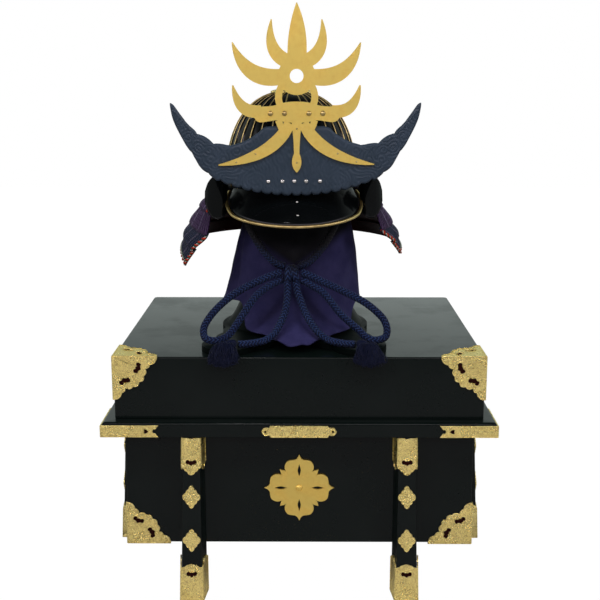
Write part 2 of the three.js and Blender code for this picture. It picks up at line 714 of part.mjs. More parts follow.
// Half of the crescent's outline, from the top's middle out along the horn and back below.
function crescentOutline() {
  const upper = [[0, 706], [46, 706], [56, 698], [76, 686], [98, 680], [116, 682], [137, 693], [155, 707]];
  const horn = [[168, 722], [182.5, 741], [178, 718], [169, 697], [158, 677], [146, 660], [134, 643]];
  const scallops = 8;
  const lower = [];
  for (let i = 0; i <= scallops; i++) {
    const x = 118 * (1 - i / scallops);
    const z = 607 + 24 * (x / 118) ** 2.2;
    if (i > 0) {
      const between = x + 118 / scallops / 2;
      lower.push([between, 605.4 + 24 * (between / 118) ** 2.2]);
    }
    if (i < scallops) lower.push([x - 1.5, z + 1.6]);
    else lower.push([0, z + 1.6]);
  }
  const right = [...upper, ...horn, ...lower];
  const left = right.slice(1, -1).map(([x, z]) => [-x, z]).reverse();
  return [...right, ...left];
}

function addCrescent(parent) {
  const front = crescent.back - crescent.thick;
  const cloud = upright(slab(polygon(crescentOutline()), crescent.thick), front, crescent.thick);
  const studs = [-38, -17.5, 0, 17.5, 38].map((x) => rivet(x, front, crescent.studZ, crescent.studRadius, 2.4));
  piece("crescent", joined([cloud, ...studs]), cloudBlue, parent);
}

// A curved blade from one point to another through a control point, with a width at its root and tip.
function blade(from, control, to, rootWidth, midWidth, tipWidth, steps = 6) {
  const curve = new THREE.QuadraticBezierCurve(
    new THREE.Vector2(...from),
    new THREE.Vector2(...control),
    new THREE.Vector2(...to),
  );
  const left = [];
  const right = [];
  for (let i = 0; i <= steps; i++) {
    const t = i / steps;
    const p = curve.getPoint(t);
    const d = curve.getTangent(t);
    const width = rootWidth * (1 - t) ** 2 + 2 * midWidth * t * (1 - t) + tipWidth * t ** 2;
    left.push([p.x - (d.y * width) / 2, p.y + (d.x * width) / 2]);
    right.push([p.x + (d.y * width) / 2, p.y - (d.x * width) / 2]);
  }
  return polygon([...left, ...right.reverse()]);
}

// A flaming crest: a disc with tongues of flame above, a riveted band, and three blades below.
function addCrest(parent) {
  const disc = new THREE.Shape().absarc(0, 779, 27, 0, 2 * Math.PI);
  disc.holes.push(new THREE.Path().absarc(0, 779, 10, 0, 2 * Math.PI));
  const band = polygon([
    [-63, 722], [-56, 714], [-30, 716], [-12, 713], [12, 713], [30, 716], [56, 714], [63, 722], [60, 733],
    [34, 737], [14, 742], [-14, 742], [-34, 737], [-60, 733],
  ]);
  const shapes = [
    disc,
    band,
    blade([0, 796], [2, 842], [0, 881.3], 26, 34, 1, 4),
    blade([0, 668], [0, 652], [0, 641], 8, 22, 1.5, 3),
    blade([0, 668], [0, 690], [0, 716], 8, 8, 16, 2),
  ];
  for (const side of [-1, 1]) {
    const flip = ([x, z]) => [side * x, z];
    shapes.push(
      blade(flip([10, 712]), flip([34, 662]), flip([114, 652]), 15, 26, 1.5, 6),
      blade(flip([14, 800]), flip([44, 812]), flip([36, 858]), 20, 22, 1.5, 4),
      blade(flip([22, 778]), flip([74, 770]), flip([92, 826]), 22, 32, 1.5, 5),
      blade(flip([50, 730]), flip([84, 722]), flip([92, 766]), 16, 24, 2, 4),
      blade(flip([24, 738]), flip([30, 752]), flip([20, 768]), 10, 10, 10, 2),
      blade(flip([14, 690]), flip([22, 700]), flip([26, 716]), 8, 8, 10, 2),
    );
  }
  const back = crescent.back - crescent.thick - gap;
  const front = back - crest.thick;
  const flat = joined(shapes.map((shape) => slab(shape, crest.thick, 6)));
  const rivets = [-38, -17.7, 17.7, 38].map((x) => rivet(x, front, crest.rivetZ, crest.rivetRadius, 3.6));
  piece("crest", joined([upright(flat, front, crest.thick), ...rivets]), gilt, parent);
}

// A gilt socket on the bowl's front that carries the crescent and the crest.
function addBracket(parent) {
  const shape = new THREE.Shape();
  shape.moveTo(-17, 640);
  shape.lineTo(17, 640);
  shape.lineTo(19, 676);
  shape.quadraticCurveTo(14, 694, 0, 696);
  shape.quadraticCurveTo(-14, 694, -19, 676);
  const depth = 60;
  const block = upright(slab(shape, depth, 4), crescent.back + gap, depth);
  piece("crest_bracket", block.subtract(bowlCutter()), gilt, parent);
}

function addHelmet(parent) {
  const group = new THREE.Group();
  group.position.set(helmet.x, helmet.y, 0);
  group.rotation.z = (helmet.turn * Math.PI) / 180;
  parent.add(group);
  addBowl(group);
  addVisor(group);
  addNeckGuard(group);
  addBracket(group);
  addCrescent(group);
  addCrest(group);
}

// ---- the cord, its bow and tassels ----
const routes = {
  neck_cord: [
    [-22, -131, 495], [-38, -131, 502], [-58, -128, 523], [-78, -113, 556], [-91, -90, 586], [-101, -60, 602],
    [-103, -15, 607], [-90, 33, 607], [-57, 67, 607], [-14, 78, 607], [30, 66, 607], [63, 31, 607], [74, -15, 607],
    [72, -62, 602], [66, -94, 586], [54, -117, 556], [34, -129, 523], [14, -131, 502], [-2, -131, 495],
  ],
  bow_loop_left: [
    [-27, -143, 488], [-40, -145, 484.5], [-57, -147, 477.6], [-93, -150, 459.7], [-117, -154, 442], [-135, -158, 423],
    [-144.5, -163, 406], [-143, -170, 394], [-135, -178, 390.7], [-124, -180, 390.7], [-112, -176, 394],
    [-103, -171, 401], [-86.6, -163, 424.7], [-64, -152, 454.8], [-42, -146, 470], [-27, -143, 476.5],
  ],
  bow_loop_right: [
    [3, -143, 488], [16, -145, 483.5], [34, -147, 475], [55, -150, 466], [78, -152, 455], [97.7, -155, 444.8],
    [115, -158, 432], [128, -161, 418], [132.5, -165, 404], [130, -168, 394], [121, -172, 390.7], [110, -174, 390.7],
    [99, -171, 395], [90, -168, 404], [63, -162, 427], [36, -151, 458], [16, -146, 470], [3, -143, 476.5],
  ],
  cord_end_left: [
    [-18.5, -146, 474], [-18, -148, 460], [-19, -151, 446], [-22, -156, 429], [-29.5, -165.5, 413], [-38, -176, 400],
    [-51, -184, 392.3], [-65, -193, 390.7], [-78, -200, 390.9], [-90, -205, 391.5],
  ],
  cord_end_right: [
    [-5.5, -146, 474], [-3, -148, 460], [2, -151, 446], [8.5, -156, 429], [18.5, -165.5, 413], [31, -176, 400],
    [45, -183, 392.3], [58, -191, 390.7], [70, -198, 390.9], [82, -204, 391.5],
  ],
};
const routeSteps = { neck_cord: 24, bow_loop_left: 16, bow_loop_right: 16, cord_end_left: 7, cord_end_right: 7 };

// The knot: a band round the bundle, with a fold of cord to each side of it.
function knotSolid(grow) {
  const ring = (rx, rz, y) =>
    Array.from({ length: 12 }, (_, k) => {
      const a = (k / 12) * 2 * Math.PI;
      return [(rx + grow) * Math.cos(a), y, (rz + grow) * Math.sin(a)];
    });
  const rings = [ring(9, 6, 9 + grow), ring(16, 12, 5), ring(19, 14, 0), ring(16, 12, -6), ring(9, 6, -10 - grow)];
  return loft(rings).translate([-12, -141, 484]);
}

// A tassel: a bound head and locks that spread as they fall over the lid's edge.
function tassel(x, side) {
  const head = [[x, -206.5, 392.6], [x + side * 5, -211.5, 393], [x + side * 10, -217, 392.6]];
  const locks = [tube(head, 7.2, 2, 8)];
  const middle = x + side * 16;
  for (let i = 0; i < 5; i++) {
    const spread = i / 2 - 1;
    const behind = i % 2;
    const path = [
      [x + side * 8, -215, 392.5],
      [middle - side * 2 + spread * 6, -223, 392 - behind],
      [middle + spread * 11, -232 - 2.5 * behind, 379],
      [middle + side * 2 + spread * 14, -234.5 - 3 * behind, 361 + 2.5 * Math.abs(spread)],
    ];
    locks.push(tube(path, 6, 4, 4, (t) => 1 - 0.45 * t ** 3));
  }
  return joined(locks);
}

function addCord(parent) {
  const knot = knotSolid(gap);
  const cords = new THREE.Group();
  parent.add(cords);
  for (const [name, route] of Object.entries(routes)) {
    const whole = tube(route, cordDiameter / 2, routeSteps[name], 8);
    piece(name, whole.subtract(knot), navyCord, cords);
  }
  piece("knot", knotSolid(0), navyCord, cords);
  piece("tassel_left", tassel(-96, -1), navyCord, cords);
  piece("tassel_right", tassel(88, 1), navyCord, cords);
}

const model = new THREE.Group();
addChest(model);
addLegs(model);
addCorners(model);
addRimPlate(model);
addEmblem(model);
addStand(model);
addCloth(model);
addHelmet(model);
addCord(model);

export default model;
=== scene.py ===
import bpy
import bmesh
import json
import math
import random
from mathutils import Matrix, Vector, noise

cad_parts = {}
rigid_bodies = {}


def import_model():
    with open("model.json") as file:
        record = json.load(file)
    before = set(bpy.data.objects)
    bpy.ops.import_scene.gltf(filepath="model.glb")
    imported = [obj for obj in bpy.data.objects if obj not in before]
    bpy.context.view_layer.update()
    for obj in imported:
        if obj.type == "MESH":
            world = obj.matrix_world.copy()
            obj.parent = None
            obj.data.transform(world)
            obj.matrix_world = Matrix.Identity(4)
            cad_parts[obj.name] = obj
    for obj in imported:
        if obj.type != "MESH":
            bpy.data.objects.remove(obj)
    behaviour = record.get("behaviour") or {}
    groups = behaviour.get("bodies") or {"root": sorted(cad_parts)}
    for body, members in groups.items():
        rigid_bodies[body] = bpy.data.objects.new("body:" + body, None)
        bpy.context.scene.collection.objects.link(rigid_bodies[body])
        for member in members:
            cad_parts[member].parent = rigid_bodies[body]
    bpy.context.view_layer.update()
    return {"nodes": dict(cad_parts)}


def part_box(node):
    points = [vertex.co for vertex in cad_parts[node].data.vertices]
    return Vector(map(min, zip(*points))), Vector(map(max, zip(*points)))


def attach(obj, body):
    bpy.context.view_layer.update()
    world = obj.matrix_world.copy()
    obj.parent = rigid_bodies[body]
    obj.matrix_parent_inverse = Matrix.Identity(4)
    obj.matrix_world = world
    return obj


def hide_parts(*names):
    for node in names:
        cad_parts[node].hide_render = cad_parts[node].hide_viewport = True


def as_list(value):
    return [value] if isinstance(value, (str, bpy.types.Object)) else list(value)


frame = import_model()
mm = 0.001


# small helpers for meshes
def makeObject(name, verts, faces, material, sharp=35):
    mesh = bpy.data.meshes.new(name)
    mesh.from_pydata([tuple(v) for v in verts], [], faces)
    mesh.validate()
    return meshObject(name, mesh, material, sharp)


def meshObject(name, mesh, material, sharp=35):
    obj = bpy.data.objects.new(name, mesh)
    bpy.context.collection.objects.link(obj)
    mesh.materials.clear()
    mesh.materials.append(material)
    mesh.shade_smooth()
    if sharp:
        mesh.set_sharp_from_angle(angle=math.radians(sharp))
    return obj


def place(obj, slot, *nodes):
    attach(obj, "root")
    if nodes:
        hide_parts(*nodes)
    return obj


def ringsToFaces(count, around, closed=False):
    faces = []
    for i in range(count if closed else count - 1):
        for k in range(around):
            a, b = i * around + k, i * around + (k + 1) % around
            c, d = ((i + 1) % count) * around + (k + 1) % around, ((i + 1) % count) * around + k
            faces.append((a, b, c, d))
    return faces


def loft(rings, capped=True):
    around = len(rings[0])
    verts = [p for ring in rings for p in ring]
    faces = ringsToFaces(len(rings), around)
    if capped:
        faces.append(tuple(reversed(range(around))))
        faces.append(tuple(range((len(rings) - 1) * around, len(rings) * around)))
    return verts, faces


# front and back are grids of the same size: a closed plate between them
def shell(front, back):
    rows, columns = len(front), len(front[0])
    verts = [p for row in front for p in row] + [p for row in back for p in row]
    half = rows * columns
    at = lambda i, k: i * columns + k
    faces = []
    for i in range(rows - 1):
        for k in range(columns - 1):
            quad = (at(i, k), at(i, k + 1), at(i + 1, k + 1), at(i + 1, k))
            faces.append(tuple(reversed(quad)))
            faces.append(tuple(half + q for q in quad))
    edge = [at(0, k) for k in range(columns)] + [at(i, columns - 1) for i in range(1, rows)]
    edge += [at(rows - 1, k) for k in range(columns - 2, -1, -1)] + [at(i, 0) for i in range(rows - 2, 0, -1)]
    for a, b in zip(edge, edge[1:] + edge[:1]):
        faces.append((a, b, half + b, half + a))
    return verts, faces


# turns the faces of a closed mesh outwards
def outward(obj):
    bm = bmesh.new()
    bm.from_mesh(obj.data)
    bmesh.ops.recalc_face_normals(bm, faces=bm.faces)
    bm.to_mesh(obj.data)
    bm.free()
    return obj


def roundEdges(obj, width, segments=2, angle=25):
    bevel = obj.modifiers.new("Rounded edges", "BEVEL")
    bevel.width = width
    bevel.segments = segments
    bevel.limit_method = "ANGLE"
    bevel.angle_limit = math.radians(angle)
    bevel.harden_normals = True
    return obj


# the node's own solid with its flat faces whole again and its edges rounded
def nodeCopy(node, name, material, width, segments=2):
    bm = bmesh.new()
    bm.from_mesh(frame["nodes"][node].data)
    bmesh.ops.remove_doubles(bm, verts=bm.verts, dist=1e-6)
    bmesh.ops.dissolve_limit(bm, angle_limit=math.radians(0.6), verts=bm.verts, edges=bm.edges)
    mesh = bpy.data.meshes.new(name)
    bm.to_mesh(mesh)
    bm.free()
    obj = meshObject(name, mesh, material, 25)
    return roundEdges(obj, width, segments)


# a centripetal curve through the points p, between points i and i + 1
def splinePoint(p, i, t):
    p1, p2 = p[i], p[i + 1]
    p0 = p[i - 1] if i > 0 else p1 * 2 - p2
    p3 = p[i + 2] if i + 2 < len(p) else p2 * 2 - p1
    d0, d1, d2 = ((b - a).length ** 0.5 for a, b in ((p0, p1), (p1, p2), (p2, p3)))
    out = ((p1 - p0) / d0 - (p2 - p0) / (d0 + d1) + (p2 - p1) / d1) * d1
    into = ((p2 - p1) / d1 - (p3 - p1) / (d1 + d2) + (p3 - p2) / d2) * d1
    return (
        p1 * (2 * t**3 - 3 * t**2 + 1) + out * (t**3 - 2 * t**2 + t)
        + p2 * (3 * t**2 - 2 * t**3) + into * (t**3 - t**2)
    )


# evenly spaced points on a smooth curve through the given ones
def curveThrough(points, spacing):
    p = [Vector(q) for q in points]
    fine = [splinePoint(p, i, k / 24) for i in range(len(p) - 1) for k in range(24)] + [p[-1]]
    lengths = [0.0]
    for a, b in zip(fine, fine[1:]):
        lengths.append(lengths[-1] + (b - a).length)
    count = max(2, round(lengths[-1] / spacing))
    even, j = [], 0
    for k in range(count + 1):
        want = lengths[-1] * k / count
        while j < len(fine) - 2 and lengths[j + 1] < want:
            j += 1
        span = lengths[j + 1] - lengths[j]
        even.append(fine[j].lerp(fine[j + 1], (want - lengths[j]) / span if span else 0))
    return even


def curveLength(points):
    return sum((b - a).length for a, b in zip(points, points[1:]))


# rings of a tube round a line; radiusAt(share, turn) gives its radius
def tubeRings(points, radiusAt, sides, closed=False):
    rings, side = [], None
    last = len(points) - 1
    for i, p in enumerate(points):
        before = points[i - 1] if i or closed else points[0]
        after = points[(i + 1) % len(points)] if i < last or closed else points[last]
        along = (after - before).normalized()
        if side is None:
            side = along.orthogonal().normalized()
        side = (side - along * side.dot(along)).normalized()
        up = along.cross(side)
        ring = []
        for k in range(sides):
            a = 2 * math.pi * k / sides
            ring.append(p + (side * math.cos(a) + up * math.sin(a)) * radiusAt(i / last, a))
        rings.append(ring)
    return rings


# a round rivet head on a face
def dome(centre, normal, radius, height, sides=16, rows=5):
    normal = Vector(normal).normalized()
    side = normal.orthogonal().normalized()
    up = normal.cross(side)
    rings = []
    for i in range(rows):
        a = i / rows * math.pi / 2
        r, h = radius * math.cos(a), height * math.sin(a)
        rings.append(
            [Vector(centre) + side * (r * math.cos(b)) + up * (r * math.sin(b)) + normal * h
             for b in (2 * math.pi * k / sides for k in range(sides))]
        )
    return loft(rings)


# one list of verts and faces from several
def gather(parts):
    verts, faces = [], []
    for v, f in parts:
        faces += [tuple(q + len(verts) for q in face) for face in f]
        verts += list(v)
    return verts, faces


# a flat plate between z = 0 and thickness, cut to closed outlines, the inner ones holes
def outlineMesh(name, outlines, thickness, edge):
    curve = bpy.data.curves.new(name, "CURVE")
    curve.dimensions = "2D"
    curve.fill_mode = "BOTH"
    curve.extrude = thickness / 2 - edge
    curve.bevel_depth = edge
    curve.bevel_resolution = 1
    curve.offset = -edge
    for points in outlines:
        spline = curve.splines.new("POLY")
        spline.points.add(len(points) - 1)
        for point, (x, y) in zip(spline.points, points):
            point.co = (x, y, 0, 1)
        spline.use_cyclic_u = True
    temp = bpy.data.objects.new(name, curve)
    bpy.context.collection.objects.link(temp)
    graph = bpy.context.evaluated_depsgraph_get()
    mesh = bpy.data.meshes.new_from_object(temp.evaluated_get(graph))
    bpy.data.objects.remove(temp)
    bpy.data.curves.remove(curve)
    mesh.transform(Matrix.Translation((0, 0, thickness / 2)))
    bm = bmesh.new()
    bm.from_mesh(mesh)
    bmesh.ops.remove_doubles(bm, verts=bm.verts, dist=1e-3)
    bmesh.ops.recalc_face_normals(bm, faces=bm.faces)
    bm.to_mesh(mesh)
    bm.free()
    return mesh


def mergeObjects(name, parts):
    bm = bmesh.new()
    for part in parts:
        bm.from_mesh(part.data)
    bm.to_mesh(parts[0].data)
    bm.free()
    for part in parts[1:]:
        bpy.data.objects.remove(part)
    parts[0].name = name
    return parts[0]


# a finished closed piece, put where it belongs
def addPiece(name, solid, material, sharp, slot, *nodes):
    return place(outward(makeObject(name, *solid, material, sharp)), slot, *nodes)


# rings joined end to end, as round a frame
def closedTube(rings):
    return [p for ring in rings for p in ring], ringsToFaces(len(rings), len(rings[0]), True)


def wireRings(line, radius, sides, closed=False):
    return tubeRings(line, lambda share, turn: radius * mm, sides, closed)


def circlePoints(x, y, radius, count):
    turns = [2 * math.pi * k / count for k in range(count)]
    return [(x + radius * math.cos(a), y + radius * math.sin(a)) for a in turns]


# the right half of an outline, from one end of its axis to the other, and its left half back
def mirrored(half):
    return half + [(-x, y) for x, y in reversed(half[1:-1])]


# shader groups and materials
def newGroup(name, inputs, outputs):
    group = bpy.data.node_groups.new(name, "ShaderNodeTree")
    for label, value in inputs.items():
        socket = group.interface.new_socket(label, in_out="INPUT", socket_type="NodeSocketFloat")
        socket.default_value = value
    for label in outputs:
        group.interface.new_socket(label, in_out="OUTPUT", socket_type="NodeSocketFloat")
    return group, group.nodes.new("NodeGroupInput").outputs, group.nodes.new("NodeGroupOutput").inputs


def node(tree, kind, inputs=None, **settings):
    n = tree.nodes.new("ShaderNode" + kind)
    for key, value in settings.items():
        setattr(n, key, value)
    for key, value in (inputs or {}).items():
        if isinstance(value, bpy.types.NodeSocket):
            tree.links.new(value, n.inputs[key])
        else:
            n.inputs[key].default_value = value
    return n


def maths(tree, operation, a, b=0.0, clamp=False):
    return node(tree, "Math", {0: a, 1: b}, operation=operation, use_clamp=clamp).outputs[0]


def ramp(tree, value, low, high, toLow=0.0, toHigh=1.0):
    n = node(
        tree, "MapRange",
        {"Value": value, "From Min": low, "From Max": high, "To Min": toLow, "To Max": toHigh},
    )
    n.interpolation_type = "SMOOTHSTEP"
    return n.outputs["Result"]


def mixColor(tree, factor, a, b):
    n = node(tree, "Mix", data_type="RGBA")
    for index, value in ((0, factor), (6, a), (7, b)):
        if isinstance(value, bpy.types.NodeSocket):
            tree.links.new(value, n.inputs[index])
        else:
            n.inputs[index].default_value = value if index == 0 else (*value, 1)
    return n.outputs[2]


# faint handling marks and dust: a value between 0 and 1 over the surface
def makeDust():
    g, i, o = newGroup("faintDust", {"Scale": 40.0, "Amount": 1.0}, ("Marks", "Specks"))
    place3d = node(g, "TexCoord").outputs["Object"]
    broad = node(g, "TexNoise", {"Vector": place3d, "Scale": i["Scale"], "Detail": 4.0, "Roughness": 0.6})
    fine = node(
        g, "TexNoise", {"Vector": place3d, "Scale": maths(g, "MULTIPLY", i["Scale"], 22.0), "Detail": 1.0}
    )
    marks = ramp(g, broad.outputs[0], 0.38, 0.72)
    specks = ramp(g, fine.outputs[0], 0.7, 0.78)
    g.links.new(maths(g, "MULTIPLY", marks, i["Amount"]), o["Marks"])
    g.links.new(maths(g, "MULTIPLY", specks, i["Amount"]), o["Specks"])
    return g


# engraved scrolls: rings round scattered centres, broken up into leaves
def makeScrollwork():
    g, i, o = newGroup("engravedScrolls", {"Scale": 90.0, "Rings": 26.0, "Depth": 1.0}, ("Height", "Groove"))
    place3d = node(g, "TexCoord").outputs["Object"]
    bend = node(
        g, "TexNoise", {"Vector": place3d, "Scale": maths(g, "MULTIPLY", i["Scale"], 1.3), "Detail": 1.0}
    )
    pull = node(g, "VectorMath", {0: bend.outputs["Color"], 1: (0.006, 0.006, 0.006)}, operation="MULTIPLY")
    moved = node(g, "VectorMath", {0: place3d, 1: pull.outputs[0]}, operation="ADD")
    cells = node(g, "TexVoronoi", {"Vector": moved.outputs[0], "Scale": i["Scale"], "Randomness": 0.8})
    rings = maths(g, "SINE", maths(g, "MULTIPLY", cells.outputs["Distance"], i["Rings"]))
    leaf = node(
        g, "TexNoise",
        {"Vector": moved.outputs[0], "Scale": maths(g, "MULTIPLY", i["Scale"], 3.2), "Detail": 2.0},
    )
    height = maths(
        g, "ADD", ramp(g, rings, -0.5, 0.6), maths(g, "MULTIPLY", ramp(g, leaf.outputs[0], 0.42, 0.58), 0.55)
    )
    g.links.new(maths(g, "MULTIPLY", height, i["Depth"]), o["Height"])
    g.links.new(ramp(g, height, 0.75, 0.25), o["Groove"])
    return g


# plaited yarns: rows of slanted strands that meet in a herringbone, along the surface's own UV
def makeBraid():
    g, i, o = newGroup("plaitedYarn", {"Columns": 8.0, "Rows": 2.0, "Slant": 0.9}, ("Height", "CrestSheen"))
    parts = node(g, "SeparateXYZ", {0: node(g, "TexCoord").outputs["UV"]})
    across = maths(g, "MULTIPLY", parts.outputs[0], i["Columns"])
    inColumn = maths(g, "PINGPONG", across, 1.0)
    along = maths(g, "MULTIPLY", parts.outputs[1], i["Rows"])
    phase = maths(g, "ADD", along, maths(g, "MULTIPLY", inColumn, i["Slant"]))
    strand = maths(g, "SINE", maths(g, "MULTIPLY", phase, 2 * math.pi))
    yarn = maths(
        g, "SINE", maths(g, "MULTIPLY", maths(g, "SUBTRACT", across, maths(g, "MULTIPLY", along, 0.6)), 19.0)
    )
    g.links.new(maths(g, "ADD", ramp(g, strand, -1.0, 0.7), maths(g, "MULTIPLY", yarn, 0.12)), o["Height"])
    # the strands' crests, a mask for their painted sheen highlight and for a lower roughness
    g.links.new(ramp(g, strand, 0.35, 1.0), o["CrestSheen"])
    return g


# a plain weave of fine threads with slight slubs
def makeWeave():
    g, i, o = newGroup("plainWeave", {"Scale": 900.0, "Slub": 0.5}, ("Height", "Tone"))
    place3d = node(g, "TexCoord").outputs["Object"]
    warp = node(
        g, "TexWave", {"Vector": place3d, "Scale": i["Scale"], "Distortion": 0.6}, bands_direction="X"
    )
    weft = node(
        g, "TexWave", {"Vector": place3d, "Scale": i["Scale"], "Distortion": 0.6}, bands_direction="Z"
    )
    slub = node(g, "TexNoise", {"Vector": place3d, "Scale": 35.0, "Detail": 5.0, "Roughness": 0.65})
    threads = maths(g, "MULTIPLY", warp.outputs["Fac"], weft.outputs["Fac"])
    g.links.new(maths(g, "ADD", threads, maths(g, "MULTIPLY", slub.outputs[0], i["Slub"])), o["Height"])
    g.links.new(ramp(g, slub.outputs[0], 0.3, 0.7), o["Tone"])
    return g


groups = {"dust": makeDust(), "scrolls": makeScrollwork(), "braid": makeBraid(), "weave": makeWeave()}


def useGroup(tree, key, **values):
    n = tree.nodes.new("ShaderNodeGroup")
    n.node_tree = groups[key]
    for label, value in values.items():
        n.inputs[label].default_value = value
    return n.outputs


def newMaterial(name, **sockets):
    material = bpy.data.materials.new(name)
    material.use_nodes = True
    shader = material.node_tree.nodes["Principled BSDF"]
    for label, value in sockets.items():
        shader.inputs[label.replace("_", " ")].default_value = value
    return material, material.node_tree, shader


def bump(tree, shader, height, strength, distance):
    n = node(tree, "Bump", {"Height": height, "Strength": strength, "Distance": distance})
    tree.links.new(n.outputs["Normal"], shader.inputs["Normal"])


# deep polished lacquer: a faint cloudiness under a hard clear skin
def lacquerMaterial(name, color, glow, rough, coat=0.4, haze=0.04):
    m, t, s = newMaterial(name, Specular_IOR_Level=0.02, Coat_Roughness=haze, Coat_IOR=1.5)
    dust = useGroup(t, "dust", Scale=9.0, Amount=1.0)
    t.links.new(mixColor(t, dust["Marks"], color, glow), s.inputs["Base Color"])
    t.links.new(ramp(t, dust["Marks"], 0.0, 1.0, rough, rough * 1.5), s.inputs["Roughness"])
    t.links.new(ramp(t, dust["Specks"], 0.0, 1.0, coat, coat * 0.6), s.inputs["Coat Weight"])
    return m


# gilding over engraved scrolls, darker where the graver has been
def giltMaterial(name, bright, deep, rough, depth, scale=190.0, rings=22.0):
    m, t, s = newMaterial(name, Metallic=1.0, Specular_Tint=(1.0, 0.93, 0.75, 1))
    scrolls = useGroup(t, "scrolls", Scale=scale, Rings=rings, Depth=1.0)
    dust = useGroup(t, "dust", Scale=55.0, Amount=1.0)
    color = mixColor(t, scrolls["Groove"], bright, deep) if depth else mixColor(
        t, dust["Marks"], bright, deep
    )
    t.links.new(color, s.inputs["Base Color"])
    t.links.new(ramp(t, dust["Marks"], 0.0, 1.0, rough, rough * 1.35), s.inputs["Roughness"])
    if depth:
        bump(t, s, scrolls["Height"], 0.9, depth)
    else:
        bump(t, s, dust["Marks"], 0.05, 0.0004)
    return m


shadeSettings = {"middle": -0.008, "slope": 0.62, "low": 0.480, "high": 0.502}


# how deep in the dark under the visor, a soft wedge that ends at the knot
def visorShade(tree):
    shade = shadeSettings
    spot = node(tree, "SeparateXYZ", {0: node(tree, "TexCoord").outputs["Object"]}).outputs
    aside = maths(tree, "ABSOLUTE", maths(tree, "ADD", spot[0], -shade["middle"]))
    height = maths(tree, "SUBTRACT", spot[2], maths(tree, "MULTIPLY", aside, shade["slope"]))
    return ramp(tree, height, shade["low"], shade["high"])


def braidMaterial(name, color, highlightColor, columns, rows, slant=0.9, depth=0.0006, rough=0.7, shaded=False):
    m, t, s = newMaterial(name, Sheen_Weight=0.03, Sheen_Roughness=0.4, Specular_IOR_Level=0.2)
    braid = useGroup(t, "braid", Columns=columns, Rows=rows, Slant=slant)
    # the strands' crests take the lighter colour, a painted sheen highlight, and are less rough
    strands = mixColor(t, braid["CrestSheen"], color, highlightColor)
    if shaded:
        strands = mixColor(t, visorShade(t), strands, (0.0008, 0.0010, 0.0022))
    t.links.new(strands, s.inputs["Base Color"])
    t.links.new(ramp(t, braid["CrestSheen"], 0.0, 1.0, rough, rough * 0.7), s.inputs["Roughness"])
    bump(t, s, braid["Height"], 0.8, depth)
    return m


def clothMaterial(name, color, light, sheen=0.06):
    m, t, s = newMaterial(
        name, Sheen_Weight=sheen, Sheen_Roughness=0.35, Specular_IOR_Level=0.15,
        Sheen_Tint=(0.6, 0.55, 1.0, 1),
    )
    weave = useGroup(t, "weave", Scale=420.0, Slub=0.6)
    tone = mixColor(t, weave["Tone"], color, light)
    t.links.new(mixColor(t, visorShade(t), tone, (0.0012, 0.0012, 0.0026)), s.inputs["Base Color"])
    t.links.new(ramp(t, weave["Tone"], 0.0, 1.0, 0.82, 0.7), s.inputs["Roughness"])
    bump(t, s, weave["Height"], 0.25, 0.0005)
    return m


def paintMaterial(name, color, light):
    m, t, s = newMaterial(name, Specular_IOR_Level=0.4)
    dust = useGroup(t, "dust", Scale=30.0, Amount=1.0)
    t.links.new(mixColor(t, dust["Marks"], color, light), s.inputs["Base Color"])
    t.links.new(ramp(t, dust["Marks"], 0.0, 1.0, 0.42, 0.55), s.inputs["Roughness"])
    bump(t, s, dust["Specks"], 0.1, 0.0002)
    return m


chestLacquer = lacquerMaterial(
    "chestLacquer", (0.0020, 0.0040, 0.0034), (0.0030, 0.0052, 0.0045), 0.3, 0.36, 0.1
)
ironLacquer = lacquerMaterial(
    "ironLacquer", (0.0010, 0.0014, 0.0016), (0.0016, 0.0022, 0.0025), 0.3, 0.26, 0.08
)
standLacquer = lacquerMaterial(
    "standLacquer", (0.0016, 0.0030, 0.0026), (0.0024, 0.0040, 0.0035), 0.4, 0.008, 0.12
)
engravedGilt = giltMaterial("engravedGilt", (1.0, 0.86, 0.33), (0.62, 0.47, 0.17), 0.27, 0.00018)
plainGilt = giltMaterial("plainGilt", (0.92, 0.68, 0.175), (0.84, 0.60, 0.145), 0.42, 0.0)
ribGilt = giltMaterial("ribGilt", (0.60, 0.47, 0.20), (0.40, 0.30, 0.12), 0.34, 0.0)
silver = giltMaterial("silverStuds", (0.85, 0.84, 0.80), (0.68, 0.67, 0.62), 0.25, 0.0)
# each braid's second colour is the painted sheen highlight on its strands' crests
cordBraid = braidMaterial(
    "navyCord", (0.0010, 0.0026, 0.016), (0.018, 0.038, 0.110), 8.0, 2.0, 0.9, 0.0010, shaded=True
)
tasselYarn = braidMaterial(
    "tasselYarn", (0.0016, 0.0036, 0.016), (0.005, 0.013, 0.046), 2.0, 30.0, 0.2, 0.0002
)
purpleBraid = braidMaterial("purpleLacing", (0.022, 0.010, 0.036), (0.060, 0.030, 0.085), 2.0, 1.0)
navyBraid = braidMaterial("navyLacing", (0.0040, 0.0062, 0.022), (0.013, 0.020, 0.055), 2.0, 1.0)
redBraid = braidMaterial("redLacing", (0.42, 0.030, 0.008), (0.66, 0.09, 0.02), 2.0, 1.0)
whiteBraid = braidMaterial("whiteLacing", (0.45, 0.45, 0.40), (0.70, 0.70, 0.62), 2.0, 1.0)
greenBraid = braidMaterial("greenLacing", (0.02, 0.10, 0.03), (0.05, 0.22, 0.08), 2.0, 1.0)
darkGround = lacquerMaterial("darkGround", (0.014, 0.0022, 0.0018), (0.020, 0.004, 0.003), 0.5, 0.05)
redLacquer = lacquerMaterial("redLacquer", (0.020, 0.0024, 0.0020), (0.032, 0.005, 0.004), 0.35, 0.12, 0.25)
paleThread = braidMaterial("paleThread", (0.16, 0.14, 0.22), (0.32, 0.30, 0.40), 2.0, 1.0)
crescentPaint = paintMaterial("crescentPaint", (0.014, 0.026, 0.042), (0.020, 0.034, 0.054))
purpleCloth = clothMaterial("purpleCloth", (0.020, 0.019, 0.066), (0.029, 0.027, 0.086))


